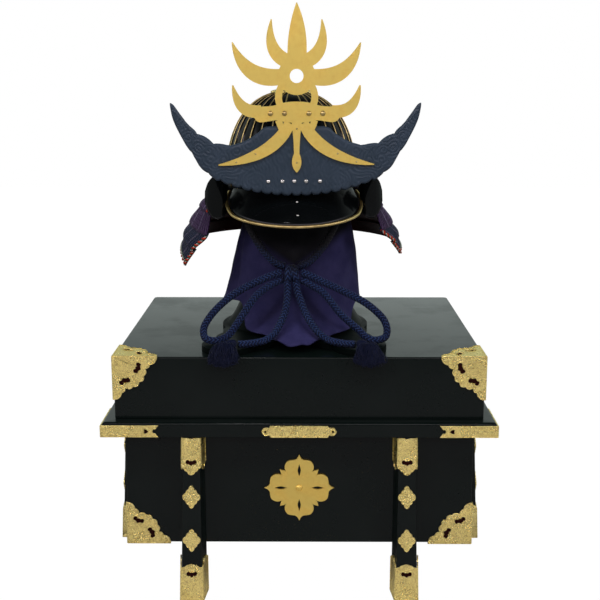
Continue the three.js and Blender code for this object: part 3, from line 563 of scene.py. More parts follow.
# camera, floor and light
view = {"focal": 63.0, "place": (0.0089, -1.7086, 0.77295), "pitch": 11.82, "yaw": 0.295}
camera = bpy.data.cameras.new("camera")
camera.lens = view["focal"]
camera.sensor_width = 36
camera.clip_end = 60
eye = bpy.data.objects.new("camera", camera)
eye.location = view["place"]
eye.rotation_euler = (math.radians(90 - view["pitch"]), 0, math.radians(view["yaw"]))
bpy.context.collection.objects.link(eye)
bpy.context.scene.camera = eye
bpy.context.scene.view_settings.view_transform = "Standard"

floorSettings = {"size": 12.0}
floorMaterial, floorTree, floorShader = newMaterial("floorPaint", Roughness=0.9, Specular_IOR_Level=0.1)
seenOnFloor = node(floorTree, "LightPath").outputs["Is Camera Ray"]
floorTree.links.new(
    mixColor(floorTree, seenOnFloor, (0.5, 0.5, 0.5), (0, 0, 0)), floorShader.inputs["Base Color"]
)
floorShader.inputs["Emission Color"].default_value = (1, 1, 1, 1)
floorTree.links.new(seenOnFloor, floorShader.inputs["Emission Strength"])
h = floorSettings["size"] / 2
floor = makeObject(
    "floor", [(-h, -h, 0), (h, -h, 0), (h, h, 0), (-h, h, 0)], [(0, 1, 2, 3)], floorMaterial, 0
)


def areaLight(name, spot, aim, size, power, lights="all"):
    light = bpy.data.lights.new(name, "AREA")
    light.shape = "RECTANGLE"
    light.size, light.size_y = size
    light.energy = power
    obj = bpy.data.objects.new(name, light)
    obj.location = spot
    obj.rotation_euler = (Vector(aim) - Vector(spot)).to_track_quat("-Z", "Y").to_euler()
    obj.visible_diffuse = lights != "shine"
    obj.visible_glossy = lights != "matt"
    bpy.context.collection.objects.link(obj)
    return obj


areaLight("keySoftbox", (0.1, -1.3, 2.7), (0, -0.05, 0.5), (0.7, 0.4), 21, "matt")
areaLight("leftSoftbox", (-1.5, -1.5, 2.6), (0, 0, 0.5), (0.6, 0.5), 20, "matt")
areaLight("rightSoftbox", (1.5, -1.5, 2.6), (0, 0, 0.5), (0.6, 0.5), 20, "matt")
areaLight("peakShine", (-0.34, -2.0, 3.0), (0, -0.1, 0.6), (0.3, 0.16), 4, "shine")

world = bpy.data.worlds.new("room")
bpy.context.scene.world = world
world.use_nodes = True
room = world.node_tree
background = room.nodes["Background"]
facing = node(room, "SeparateXYZ", {0: node(room, "TexCoord").outputs["Generated"]})
frontness = ramp(room, facing.outputs[1], 0.3, -0.5)
walls = mixColor(room, frontness, (0.68, 0.77, 0.74), (0.43, 0.45, 0.44))
ceiling = ramp(room, facing.outputs[2], 0.45, 0.75)
roomColor = mixColor(room, ceiling, walls, (0.03, 0.03, 0.03))
rise = ramp(room, facing.outputs[2], 0.38, 0.42)
fall = ramp(room, facing.outputs[2], 0.54, 0.50)
band = maths(room, "MULTIPLY", maths(room, "MULTIPLY", rise, fall), frontness)
roomColor = mixColor(room, band, roomColor, (7.0, 6.2, 6.8))
rays = node(room, "LightPath").outputs
roomColor = mixColor(room, rays["Is Diffuse Ray"], roomColor, (0.02, 0.02, 0.024))
room.links.new(mixColor(room, rays["Is Camera Ray"], roomColor, (1, 1, 1)), background.inputs["Color"])
print("camera, floor and light are set")


# the cord and its bow, in the order they are tied
cordFacts = {"diameter": 0.011, "sides": 32, "pitch": 0.0014, "columns": 8, "row": 0.0052, "relief": 0.00042}
cordRoutes = {
    "neck_cord": [
        (-22, -131, 495), (-38, -131, 502), (-58, -128, 523), (-78, -113, 556), (-91, -90, 586),
        (-101, -60, 602),
        (-103, -15, 607), (-90, 33, 607), (-57, 67, 607), (-14, 78, 607), (30, 66, 607), (63, 31, 607),
        (74, -15, 607),
        (72, -62, 602), (66, -94, 586), (54, -117, 556), (34, -129, 523), (14, -131, 502), (-2, -131, 495),
    ],
    "bow_loop_left": [
        (-27, -143, 488), (-40, -145, 484.5), (-57, -147, 477.6), (-93, -150, 459.7), (-117, -154, 442),
        (-135, -158, 423), (-144.5, -163, 406), (-143, -170, 394), (-135, -178, 390.7), (-124, -180, 390.7),
        (-112, -176, 394), (-103, -171, 401), (-86.6, -163, 424.7), (-64, -152, 454.8), (-42, -146, 470),
        (-27, -143, 476.5),
    ],
    "bow_loop_right": [
        (3, -143, 488), (16, -145, 483.5), (34, -147, 475), (55, -150, 466), (78, -152, 455),
        (97.7, -155, 444.8),
        (115, -158, 432), (128, -161, 418), (132.5, -165, 404), (130, -168, 394), (121, -172, 390.7),
        (110, -174, 390.7), (99, -171, 395), (90, -168, 404), (63, -162, 427), (36, -151, 458),
        (16, -146, 470),
        (3, -143, 476.5),
    ],
    "cord_end_left": [
        (-18.5, -146, 474), (-18, -148, 460), (-19, -151, 446), (-22, -156, 429), (-29.5, -165.5, 413),
        (-38, -176, 400), (-51, -184, 392.3), (-65, -193, 390.7), (-78, -200, 390.9), (-90, -205, 391.5),
    ],
    "cord_end_right": [
        (-5.5, -146, 474), (-3, -148, 460), (2, -151, 446), (8.5, -156, 429), (18.5, -165.5, 413),
        (31, -176, 400), (45, -183, 392.3), (58, -191, 390.7), (70, -198, 390.9), (82, -204, 391.5),
    ],
}


def braidedTube(name, line, material, closed=False):
    f = cordFacts
    radius = f["diameter"] / 2
    length = curveLength(line)

    def radiusAt(share, turn):
        across = turn / (2 * math.pi) * f["columns"]
        inColumn = abs((across + 1) % 2 - 1)
        strand = math.sin(2 * math.pi * (share * length / f["row"] + 0.9 * inColumn))
        valley = 1 - 0.6 * (2 * abs(across % 1 - 0.5)) ** 4
        return radius + f["relief"] * (strand * valley - 0.3)

    rings = tubeRings(line, radiusAt, f["sides"], closed)
    verts, faces = loft(rings, capped=not closed)
    if closed:
        faces = ringsToFaces(len(rings), f["sides"], True)
    obj = makeObject(name, verts, faces, material, 0)
    uv = obj.data.uv_layers.new(name="UVMap")
    for poly in obj.data.polygons:
        turns = [obj.data.loops[j].vertex_index % f["sides"] for j in poly.loop_indices]
        wrap = max(turns) - min(turns) > f["sides"] / 2
        for j, turn in zip(poly.loop_indices, turns):
            ring = obj.data.loops[j].vertex_index // f["sides"]
            u = (turn + (f["sides"] if wrap and turn < f["sides"] / 2 else 0)) / f["sides"]
            uv.data[j].uv = (u, ring * length / len(line) / (2 * f["row"]))
    return outward(obj)


cordLines = {}
for name, route in cordRoutes.items():
    line = curveThrough([Vector(p) * mm for p in route], cordFacts["pitch"])
    cordLines[name] = line
    piece = braidedTube("braided_" + name, line, cordBraid)
    place(piece, "navy_cord", name)


# a turn of cord round the middle of the bow
def wrap(centre, across, tall, lean):
    line = []
    for k in range(60):
        a = 2 * math.pi * k / 60
        p = Vector((0.0012 * math.sin(2 * a), across * math.cos(a), tall * math.sin(a)))
        line.append(Vector(centre) + Matrix.Rotation(math.radians(lean), 3, "Y") @ p)
    return braidedTube("wrap", line, cordBraid, closed=True)


knotSettings = {"centre": (-0.012, -0.141, 0.484), "across": 0.0075, "tall": 0.0105, "gap": 0.0052}
cx, cy, cz = knotSettings["centre"]
knotParts = []
for side, lean in ((-1, 14), (1, -12)):
    ring = wrap((cx + side * knotSettings["gap"], cy, cz), knotSettings["across"], knotSettings["tall"], lean)
    knotParts.append(ring)
knotPiece = place(mergeObjects("bow_knot", knotParts), "navy_cord", "knot")

# tassels: a bound head and many fine yarns that fall over the lid's edge
tasselSettings = {"yarns": 230, "yarnRadius": 0.0007, "headRadius": 0.0066, "seed": 4}


def tassel(name, x, side):
    rng = random.Random(tasselSettings["seed"] + side)
    parts = []
    head = [
        Vector((x, -206.5, 392.6)) * mm, Vector((x + side * 5, -211.5, 393)) * mm,
        Vector((x + side * 10, -217, 392.6)) * mm,
    ]
    headLine = curveThrough(head, 0.0006)
    bound = lambda share, turn: tasselSettings["headRadius"] * (
        0.9 + 0.12 * math.sin(share * math.pi)
    ) + 0.00035 * math.sin(share * 95)
    parts.append(loft(tubeRings(headLine, bound, 20)))
    for yarn in range(tasselSettings["yarns"]):
        spread = rng.uniform(-1, 1)
        depth = rng.uniform(-1, 1)
        reach = rng.uniform(-1, 1)
        start = Vector((x + side * 8 + depth * 3, -214 + spread * side * 3.5, 392.5 + rng.uniform(-3.5, 4)))
        path = [
            start,
            Vector((x + side * 13 + spread * 12, -222 + rng.uniform(-4, 2), 393 + depth * 5)),
            Vector((
                x + side * 14 + spread * 19 + rng.uniform(-3, 3), -229 - 4 * abs(depth),
                384 + depth * 5 + rng.uniform(-3, 3),
            )),
            Vector((
                x + side * 15 + spread * 21 + rng.uniform(-5, 5), -232.5 - 5 * rng.random(),
                374 + depth * 3 + rng.uniform(-3, 3),
            )),
            Vector((
                x + side * 15 + spread * 20 + rng.uniform(-7, 7), -232.5 - 6 * rng.random(),
                363 + 7 * abs(reach) + 8 * abs(spread) ** 2,
            )),
        ]
        line = curveThrough([p * mm for p in path], 0.0035)
        thin = lambda share, turn: tasselSettings["yarnRadius"] * (1 - 0.35 * share**3)
        parts.append(loft(tubeRings(line, thin, 4)))
    return addPiece(name + "_yarns", gather(parts), tasselYarn, 0, "navy_cord", name)


tassels = [tassel("tassel_left", -96, -1), tassel("tassel_right", 88, 1)]
facts = {
    "neck_cord": ("knot", [knotPiece]), "bow_loop_left": ("object", []), "bow_loop_right": ("object", []),
    "cord_end_left": ("object", [tassels[0]]), "cord_end_right": ("object", [tassels[1]]),
}
for name, (farEnd, held) in facts.items():
    line = cordLines[name]
    tuple(line[0])
    curveLength(line)
    [tuple(p) for p in line[::4] + [line[-1]]]
    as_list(held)
print("cords, knot and tassels are tied")


# the chest: lid, rim, body and legs in polished lacquer
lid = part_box("chest_lid")
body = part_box("chest_body")
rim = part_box("chest_rim")
chestSettings = {
    "lidWall": 12, "lidEdge": 2.2, "lidFront": 1.5, "lidBack": 7, "rimOpening": 42, "rimEdge": 5,
    "rimShoulder": 18.9,
    "rimCorner": 2.5, "corner": 8,
}


# a rectangle with its front and back corners rounded, as a ring of points
def roundedRing(halfX, halfY, z, inset, front, back):
    steps = chestSettings["corner"]
    ring = []
    for sx, sy, start in ((1, -1, -90), (1, 1, 0), (-1, 1, 90), (-1, -1, 180)):
        r = max(0.2, (front if sy < 0 else back) - inset)
        for k in range(steps + 1):
            a = math.radians(start + 90 * k / steps)
            x, y = sx * (halfX - inset - r) + r * math.cos(a), sy * (halfY - inset - r) + r * math.sin(a)
            ring.append(Vector((x, y, z)) * mm)
    return ring


def makeLid():
    c = chestSettings
    half = [v / mm for v in lid[1]]
    low, high, e = lid[0][2] / mm, half[2], c["lidEdge"]
    ring = lambda z, inset: roundedRing(half[0], half[1], z, inset, c["lidFront"], c["lidBack"])
    rings = [
        ring(high - c["lidWall"], c["lidWall"]), ring(low, c["lidWall"]), ring(low, 0.4), ring(low + 0.4, 0)
    ]
    for k in range(7):
        a = math.radians(90 * k / 6)
        rings.append(ring(high - e + e * math.sin(a), e * (1 - math.cos(a))))
    addPiece("lacquered_lid", loft(rings), chestLacquer, 30, "black_lacquered_wood", "chest_lid")


def makeRim():
    c = chestSettings
    half = [v / mm for v in rim[1]]
    low, high, e = rim[0][2] / mm, half[2], c["rimEdge"]
    shoulder = low + c["rimShoulder"]
    ring = lambda z, inset: roundedRing(half[0], half[1], z, inset, c["rimCorner"], c["rimCorner"])
    rings = [
        ring(high, c["rimOpening"]), ring(low, c["rimOpening"]), ring(low, 0.6), ring(low + 0.6, 0),
        ring(shoulder, 0),
    ]
    for k in range(9):
        a = math.radians(90 * k / 8)
        rings.append(
            ring(shoulder + 0.5 + (high - shoulder - 0.5) * math.sin(a), 0.6 + (e - 0.6) * (1 - math.cos(a)))
        )
    addPiece("lacquered_rim", closedTube(rings), chestLacquer, 30, "black_lacquered_wood", "chest_rim")


makeLid()
makeRim()
place(nodeCopy("chest_body", "lacquered_body", chestLacquer, 0.001, 3), "black_lacquered_wood", "chest_body")
corners = [("front", "left"), ("front", "right"), ("back", "left"), ("back", "right")]
legNames = ["_".join(c) for c in corners] + ["side_left", "side_right"]
for s in legNames:
    place(
        nodeCopy("leg_" + s, "lacquered_leg_" + s, chestLacquer, 0.0012), "black_lacquered_wood", "leg_" + s
    )

# gilt sheet fittings: raised edge, engraved scrolls, pierced winged marks with a bright lip
giltSettings = {
    "thick": 1.5, "gap": 0.3, "wire": 0.62, "inset": 0.75,
    "bead": ((1.15, 0), (0.95, 0.6), (0.55, 0.95), (0.12, 1.1)),
    "curl": 1.9, "curlWire": 0.34, "curlTurn": 7.2, "curlSteps": 8, "spacing": 4.3, "border": 3.2, "seed": 11,
}


def closedLine(points, spacing):
    p = [Vector((a, b, 0)) for a, b in points]
    line = curveThrough(p[-2:] + p + p[:2], spacing)
    start = next(i for i, q in enumerate(line) if (q - p[0]).length < spacing)
    end = max(i for i, q in enumerate(line) if (q - p[0]).length < spacing)
    return [(q.x, q.y) for q in line[start:end]]


def wingedMark(width):
    w = width / 2
    half = [
        (0, 0.46), (0.24, 0.30), (0.5, 0.50), (0.86, 0.46), (1, 0.06), (0.80, -0.34), (0.52, -0.30),
        (0.28, -0.42), (0, -0.62),
    ]
    return closedLine(mirrored([(x * w, y * w) for x, y in half]), 0.6)


def moved(points, x, y, turn):
    c, s = math.cos(turn), math.sin(turn)
    return [(x + a * c - b * s, y + a * s + b * c) for a, b in points]


# arcs that bulge to the right of the way they run
def scalloped(anchors, bulge, steps=6):
    points = []
    for (ax, ay), (bx, by) in zip(anchors, anchors[1:]):
        for k in range(steps):
            t = k / steps
            lift = bulge * 4 * t * (1 - t)
            points.append((ax + (bx - ax) * t + (by - ay) * lift, ay + (by - ay) * t - (bx - ax) * lift))
    return points + [anchors[-1]]


def isInside(x, y, outline):
    inside = False
    for (ax, ay), (bx, by) in zip(outline, outline[1:] + outline[:1]):
        if (ay > y) != (by > y) and x < (bx - ax) * (y - ay) / (by - ay) + ax:
            inside = not inside
    return inside


def nearness(x, y, outline):
    return min(math.hypot(a - x, b - y) for a, b in outline)


def insetLine(outline, depth):
    area = sum(a[0] * b[1] - b[0] * a[1] for a, b in zip(outline, outline[1:] + outline[:1]))
    sign = 1 if area > 0 else -1
    line = []
    for i, (x, y) in enumerate(outline):
        (ax, ay), (bx, by) = outline[i - 1], outline[(i + 1) % len(outline)]
        d = max(1e-6, math.hypot(bx - ax, by - ay))
        line.append((x - sign * (by - ay) / d * depth, y + sign * (bx - ax) / d * depth))
    return line


# a wire laid along a closed outline
def ringWire(outline, onto, lift, radius, sides=6):
    line = [onto(x, y, lift) for x, y in outline]
    return closedTube(wireRings(line, radius, sides, True))


def densely(outline, step):
    points = []
    for (ax, ay), (bx, by) in zip(outline, outline[1:] + outline[:1]):
        count = max(1, round(math.hypot(bx - ax, by - ay) / step))
        points += [(ax + (bx - ax) * k / count, ay + (by - ay) * k / count) for k in range(count)]
    return points


# spirals set in staggered rows, turned at random and clear of the edges and marks
def scrollCurls(outline, dense, marks, onto, seed):
    g = giltSettings
    rng = random.Random(g["seed"] + seed)
    xs, ys = [p[0] for p in outline], [p[1] for p in outline]
    curlRadius = lambda share, turn: g["curlWire"] * (1.15 - 0.5 * share) * mm
    curls = []
    row = 0
    y = min(ys) + g["border"]
    while y < max(ys) - 2:
        x = min(xs) + g["border"] + (row % 2) * g["spacing"] / 2
        while x < max(xs) - 2:
            px, py = x + rng.uniform(-0.5, 0.5), y + rng.uniform(-0.5, 0.5)
            clear = nearness(px, py, dense)
            for mark in marks:
                clear = min(clear, nearness(px, py, mark) - (9 if isInside(px, py, mark) else 0.6))
            if clear > 2.0 and isInside(px, py, outline):
                size = min(g["curl"], clear - 0.9) * rng.uniform(0.85, 1.1)
                start, hand = rng.uniform(0, 6.28), rng.choice((-1, 1))
                line = []
                for k in range(g["curlSteps"] + 1):
                    share = k / g["curlSteps"]
                    a = start + hand * g["curlTurn"] * share
                    r = size * (0.14 + 0.86 * share**1.1)
                    line.append(onto(px + r * math.cos(a), py + r * math.sin(a), g["thick"] - 0.02))
                curls.append(loft(tubeRings(line, curlRadius, 4)))
            x += g["spacing"]
        y += g["spacing"] * 0.87
        row += 1
    return curls


# parts of one pierced gilt sheet, and of the dark ground seen through its marks; a seed adds raised scrolls
def giltSheet(outline, marks, onto, beads=(), seed=None):
    g = giltSettings
    mesh = outlineMesh("giltSheet", [outline] + marks, g["thick"], 0.22)
    sheet = [onto(v.co.x, v.co.y, v.co.z) for v in mesh.vertices], [tuple(f.vertices) for f in mesh.polygons]
    bpy.data.meshes.remove(mesh)
    dense = densely(outline, 1.6)
    parts = [sheet, ringWire(insetLine(dense, g["inset"]), onto, g["thick"], g["wire"])]
    grounds = []
    for mark in marks:
        parts.append(ringWire(insetLine(mark, -0.55), onto, g["thick"] + 0.05, 0.55))
        line = insetLine(mark, -0.1)
        count = len(line)
        caps = [tuple(range(count)), tuple(range(2 * count - 1, count - 1, -1))]
        sides = [(k, (k + 1) % count, count + (k + 1) % count, count + k) for k in range(count)]
        grounds.append(([onto(x, y, h) for h in (-0.2, 0.5) for x, y in line], caps + sides))
    for x, y in beads:
        rings = [
            [onto(a, b, g["thick"] - 0.1 + h) for a, b in circlePoints(x, y, r, 10)] for r, h in g["bead"]
        ]
        parts.append(loft(rings))
    if seed is not None:
        parts += scrollCurls(outline, dense, marks, onto, seed)
    return parts, grounds


def placeGilt(name, sheets, *nodes):
    addPiece(
        name, gather([p for gilt, ground in sheets for p in gilt]), engravedGilt, 18, "gilt_brass", *nodes
    )
    grounds = [p for gilt, ground in sheets for p in ground]
    if grounds:
        addPiece(name + "_ground", gather(grounds), darkGround, 30, "black_lacquered_wood")


# corner leaves
leafSettings = {
    "along": 65, "mark": 17, "beadInset": 2.6,
    "edge": [
        (1, 0), (0.84, 0.18), (0.72, 0.27), (0.69, 0.44), (0.58, 0.58), (0.44, 0.69), (0.27, 0.72),
        (0.18, 0.84), (0, 1),
    ],
    "bulges": [0.2, 0.2, 0.26, 0.3, 0.3, 0.26, 0.2, 0.2],
}


def leafOutline(length):
    e = giltSettings["thick"] + giltSettings["gap"]
    points = [(a * length, b * length) for a, b in leafSettings["edge"]]
    edge = []
    for start, end, bulge in zip(points, points[1:], leafSettings["bulges"]):
        edge += scalloped([start, end], bulge, 8)[:-1]
    edge.append((0, length))
    return [(-e, -e), (length, -e)] + edge + [(-e, length)]


# which way the chest lies from one of its upright corners, and where that corner is
def cornerOf(box, end, side):
    sx, sy = (-1 if side == "left" else 1), (-1 if end == "front" else 1)
    return sx, sy, box[0 if sx < 0 else 1][0], box[0 if sy < 0 else 1][1]


def makeCorner(name, end, side, box, atTop, seed):
    sx, sy, x0, y0 = cornerOf(box, end, side)
    z0, sz = (box[1][2], -1) if atTop else (box[0][2], 1)
    gap, length = giltSettings["gap"], leafSettings["along"]
    scene = lambda lx, ly, lz: Vector((x0 - sx * lx * mm, y0 - sy * ly * mm, z0 + sz * lz * mm))
    outline = leafOutline(length)
    grown = lambda by: [(x + by, y + by) for x, y in outline]  # keeps the three leaves' edges apart
    mark = wingedMark(leafSettings["mark"])
    marks = [
        moved(mark, length * 0.25, length * 0.555, math.pi * -0.13),
        moved(mark, length * 0.555, length * 0.25, math.pi * 0.63),
    ]
    inset = leafSettings["beadInset"]
    beads = [(a * length - inset, b * length - inset) for a, b in leafSettings["edge"][1:-1]]
    front = giltSheet(outline, marks, lambda a, b, h: scene(a, -gap - h, b), beads, seed)
    flat = giltSheet(grown(0.06), marks, lambda a, b, h: scene(a, b, -gap - h), beads)
    aside = giltSheet(grown(0.03), marks, lambda a, b, h: scene(-gap - h, a, b), beads)
    placeGilt("gilt_" + name, [front, flat, aside], name)


# angle strips with swallow-tail ends; the notch and the hole are measured from an arm's end and middle
stripSettings = {
    "along": 84, "low": 0.6, "high": 18.7, "notch": [(5, 2.4), (5.6, 3.2), (7.6, 3), (9, 0)],
    "holeBack": 18.48,
    "hole": [(3.6, 0), (0.4, 3), (-3, 3), (-2.4, 0), (-3, -3), (0.4, -3)],
}


def makeStrip(end, side, seed):
    s = stripSettings
    sx, sy, x0, y0 = cornerOf(rim, end, side)
    low, high = rim[0][2] / mm + s["low"], rim[0][2] / mm + s["high"]
    gap, middle, n = giltSettings["gap"], (low + high) / 2, s["along"]
    e = giltSettings["thick"] + gap
    notch = [(n - back, middle - off) for back, off in s["notch"]]
    notch += [(n - back, middle + off) for back, off in reversed(s["notch"][:-1])]
    outline = [(-e, low), (n, low)] + notch + [(n, high), (-e, high)]
    hole = closedLine([(n - s["holeBack"] + a, middle + b) for a, b in s["hole"]], 0.7)
    scene = lambda lx, ly, z: Vector((x0 - sx * lx * mm, y0 - sy * ly * mm, z * mm))
    front = giltSheet(outline, [hole], lambda a, b, h: scene(a, -gap - h, b), (), seed)
    aside = giltSheet([(x + 0.04, y) for x, y in outline], [hole], lambda a, b, h: scene(-gap - h, a, b))
    placeGilt(f"gilt_strip_{end}_{side}", [front, aside], f"rim_corner_{end}_{side}")


for n, (end, side) in enumerate(corners):
    if end == "front":
        makeCorner(f"lid_corner_{end}_{side}", end, side, lid, True, n * 3)
    makeCorner(f"body_corner_{end}_{side}", end, side, body, False, 20 + n * 3)
    makeStrip(end, side, 40 + n * 2)

# the long plate on the rim, narrow before its lobed ends
plateSettings = {
    "length": 111, "height": 18, "middle": 9.45, "hole": 1.7, "holeInset": 6,
    "end": [(13, 1), (11.5, 0.62), (8, 0.72), (4, 0.66), (1.5, 0.36), (0, 0)],
}


def makeRimPlate():
    s = plateSettings
    half, h = s["length"] / 2, s["height"] / 2
    middle = rim[0][2] / mm + s["middle"]
    right = [(half - inset, -h * share) for inset, share in s["end"]]
    outline = right + [(x, -z) for x, z in reversed(right[:-1])]
    outline += [(-x, -z) for x, z in outline]
    outline = [(x, z + middle) for x, z in outline]
    y = rim[0][1] / mm - giltSettings["gap"]
    holes = [circlePoints(side * (half - s["holeInset"]), middle, s["hole"], 14) for side in (-1, 1)]
    sheet = giltSheet(outline, holes, lambda a, b, lift: Vector((a, y - lift, b)) * mm, (), 60)
    placeGilt("gilt_rim_plate", [sheet], "rim_plate")


makeRimPlate()

# caps, shoes and diamonds of the legs, which stand with their backs to the chest and widen downwards
legSettings = {
    "topWidth": 24.4, "footWidth": 32, "backWider": 8, "topDepth": 30.5, "inset": 159.2, "flare": 3,
    "footFront": 39,
    "footSide": 42, "mark": 16, "capShoulder": 213, "capMark": 6.5, "shoeShoulder": 52,
    "shoeSideShoulder": 56,
    "shoeMark": -8, "diamonds": (166, 98), "diamond": (13.3, 18), "diamondBead": 2.3,
    # edges, as shares of the width or the depth and millimetres above the shoulder
    "capEdge": [(-1, 0), (-0.74, -3.5), (-0.42, -8), (0, -13), (0.42, -8), (0.74, -3.5), (1, 0)],
    "capSideEdge": [(0, 0), (0.3, -4), (0.5, -10), (0.7, -4), (1, 0)],
    "shoeEdge": [(1, 0), (0.62, 3.5), (0.3, 6.5), (-0.3, 6.5), (-0.62, 3.5), (-1, 0)],
    "shoeSideEdge": [(1, 0), (0.72, 4), (0.5, 10), (0.28, 4), (0, 0)],
}


# half the leg's width, its depth and how far down it is, at a height
def legSize(z, footDepth):
    s = legSettings
    share = 1 - z * mm / rim[0][2]
    half = (s["topWidth"] + (s["footWidth"] - s["topWidth"]) * share) / 2
    return half, s["topDepth"] + (footDepth - s["topDepth"]) * share, share


def makeLegFittings(name, x0, y0, turn, flare, footDepth, seed):
    s, g = legSettings, giltSettings
    e = g["gap"] + g["thick"]
    c, sn = round(math.cos(turn)), round(math.sin(turn))
    scene = lambda x, y, z: Vector((x0 + x * c - y * sn, y0 + x * sn + y * c, z)) * mm

    def face(u, z, lift):
        depth, share = legSize(z, footDepth)[1:]
        return scene(flare * share + u, -depth - g["gap"] - lift, z)

    def flank(side):
        def onto(v, z, lift):
            half, depth, share = legSize(z, footDepth)
            wide = half + g["gap"] + lift + s["backWider"] / 2 * max(0.0, depth - v) / depth
            return scene(flare * share + side * wide, -v, z)
        return onto

    mark = wingedMark(s["mark"])
    halfAt = lambda z: legSize(z, footDepth)[0] + e
    depthAt = lambda z: legSize(z, footDepth)[1] + e - 0.05
    frontEdge = lambda key, z, bulge: scalloped([(halfAt(z) * a, z + b) for a, b in s[key]], bulge)
    sideEdge = lambda key, z, bulge: scalloped([(max(0.3, depthAt(z) * a), z + b) for a, b in s[key]], bulge)

    def sleeve(kind, front, markZ, side, firstSeed):
        sheets = [giltSheet(front, [moved(mark, 0, markZ, 0)], face, (), firstSeed)]
        sheets += [giltSheet(side, [], flank(way)) for way in (-1, 1)]
        placeGilt(f"gilt_{kind}_{name}", sheets, f"leg_{kind}_{name}")

    # the cap: straight sides, a notch at the top and a scalloped point below
    top, z = rim[0][2] / mm - 0.4, s["capShoulder"]
    w, d = halfAt(top), depthAt(top)
    front = frontEdge("capEdge", z, 0.16) + [
        (w, top), (w * 0.3, top), (0, top - 1.5), (-w * 0.3, top), (-w, top)
    ]
    sleeve("cap", front, z + s["capMark"], sideEdge("capSideEdge", z, 0.16) + [(d, top), (0.3, top)], seed)

    # the shoe: an arched, scalloped top
    foot, z = 0.2, s["shoeShoulder"]
    front = [(-halfAt(0), foot), (halfAt(0), foot)] + frontEdge("shoeEdge", z, 0.15)
    side = [(0.3, foot), (depthAt(0), foot)] + sideEdge("shoeSideEdge", s["shoeSideShoulder"], 0.15)
    sleeve("shoe", front, z + s["shoeMark"], side, seed + 3)

    # two diamonds between them
    sheets = []
    a, b = s["diamond"]
    quarter = [(a, 0), (a * 0.66, b * 0.34), (a * 0.33, b * 0.67), (0, b)]
    anchors = quarter + [(-x, y) for x, y in reversed(quarter[:-1])]
    anchors = anchors + [(x, -y) for x, y in reversed(anchors[1:-1])] + [(a, 0)]
    for z in s["diamonds"]:
        outline = [(x, y + z) for x, y in scalloped(anchors, 0.17)[:-1]]
        reach = b - s["diamondBead"]
        sheets.append(giltSheet(outline, [], face, [(0, z + reach), (0, z - reach)], seed + 7))
    placeGilt("gilt_diamonds_" + name, sheets)


atFront, atSide = body[1][1] / mm + 0.3, body[1][0] / mm + 0.3
legPlaces = {
    "front_left": (-1, -1, 0, -1), "front_right": (1, -1, 0, 1), "back_left": (-1, 1, math.pi, -1),
    "back_right": (1, 1, math.pi, 1),
}
for n, (name, (sx, sy, turn, flare)) in enumerate(legPlaces.items()):
    lean = flare * legSettings["flare"] * (1 if sy < 0 else -1)
    makeLegFittings(
        name, sx * legSettings["inset"], sy * atFront, turn, lean, legSettings["footFront"], 70 + n // 2
    )
makeLegFittings("side_left", -atSide, 0, -math.pi / 2, 0, legSettings["footSide"], 80)
makeLegFittings("side_right", atSide, 0, math.pi / 2, 0, legSettings["footSide"], 90)


# flat pieces cut from sheet, joined where they cross
def bladeOutline(start, control, end, root, mid, tip, steps=22):
    a, b, c = Vector(start), Vector(control), Vector(end)
    left, right = [], []
    for i in range(steps + 1):
        t = i / steps
        p = a * (1 - t) ** 2 + b * 2 * t * (1 - t) + c * t**2
        d = ((b - a) * (1 - t) + (c - b) * t).normalized()
        width = root * (1 - t) ** 2 + 2 * mid * t * (1 - t) + tip * t**2
        left.append((p.x - d.y * width / 2, p.y + d.x * width / 2))
        right.append((p.x + d.y * width / 2, p.y - d.x * width / 2))
    return left + right[::-1]


# a straight-sided plate between two heights
def prism(outline, low, high):
    count = len(outline)
    verts = [(x, z, low) for x, z in outline] + [(x, z, high) for x, z in outline]
    faces = [tuple(reversed(range(count))), tuple(range(count, 2 * count))]
    faces += [(k, (k + 1) % count, count + (k + 1) % count, count + k) for k in range(count)]
    return verts, faces


def flatUnion(name, outlines, cutters, thick, onto, edge, material):
    collections = []
    for label, group, low, high in (("join", outlines[1:], 0, thick), ("cut", cutters, -1, thick + 1)):
        made = bpy.data.collections.new(label)
        bpy.context.scene.collection.children.link(made)
        for outline in group:
            obj = outward(makeObject(label + "Part", *prism(outline, low, high), plainGilt, 0))
            bpy.context.collection.objects.unlink(obj)
            made.objects.link(obj)
        collections.append(made)
    first = outward(makeObject("firstPart", *prism(outlines[0], 0, thick), plainGilt, 0))
    for made, operation in zip(collections, ("UNION", "DIFFERENCE")):
        if made.objects:
            step = first.modifiers.new(operation, "BOOLEAN")
            step.operation = operation
            step.solver = "EXACT"
            step.operand_type = "COLLECTION"
            step.collection = made
    mesh = bpy.data.meshes.new_from_object(first.evaluated_get(bpy.context.evaluated_depsgraph_get()))
    for obj in [first] + [o for made in collections for o in made.objects]:
        bpy.data.objects.remove(obj)
    for made in collections:
        bpy.data.collections.remove(made)
    bm = bmesh.new()
    bm.from_mesh(mesh)
    bmesh.ops.remove_doubles(bm, verts=bm.verts, dist=0.02)
    bmesh.ops.dissolve_limit(bm, angle_limit=math.radians(0.5), verts=bm.verts, edges=bm.edges)
    for v in bm.verts:
        v.co = onto(v.co.x, v.co.y, v.co.z)
    bmesh.ops.recalc_face_normals(bm, faces=bm.faces)
    bm.to_mesh(mesh)
    bm.free()
    return roundEdges(meshObject(name, mesh, material, 30), edge * mm, 2, 50)


# the emblem: four broad notched petals, four narrow leaves and a heart
emblemSettings = {"radius": 53, "z": 168, "thick": 3, "edge": 0.45}


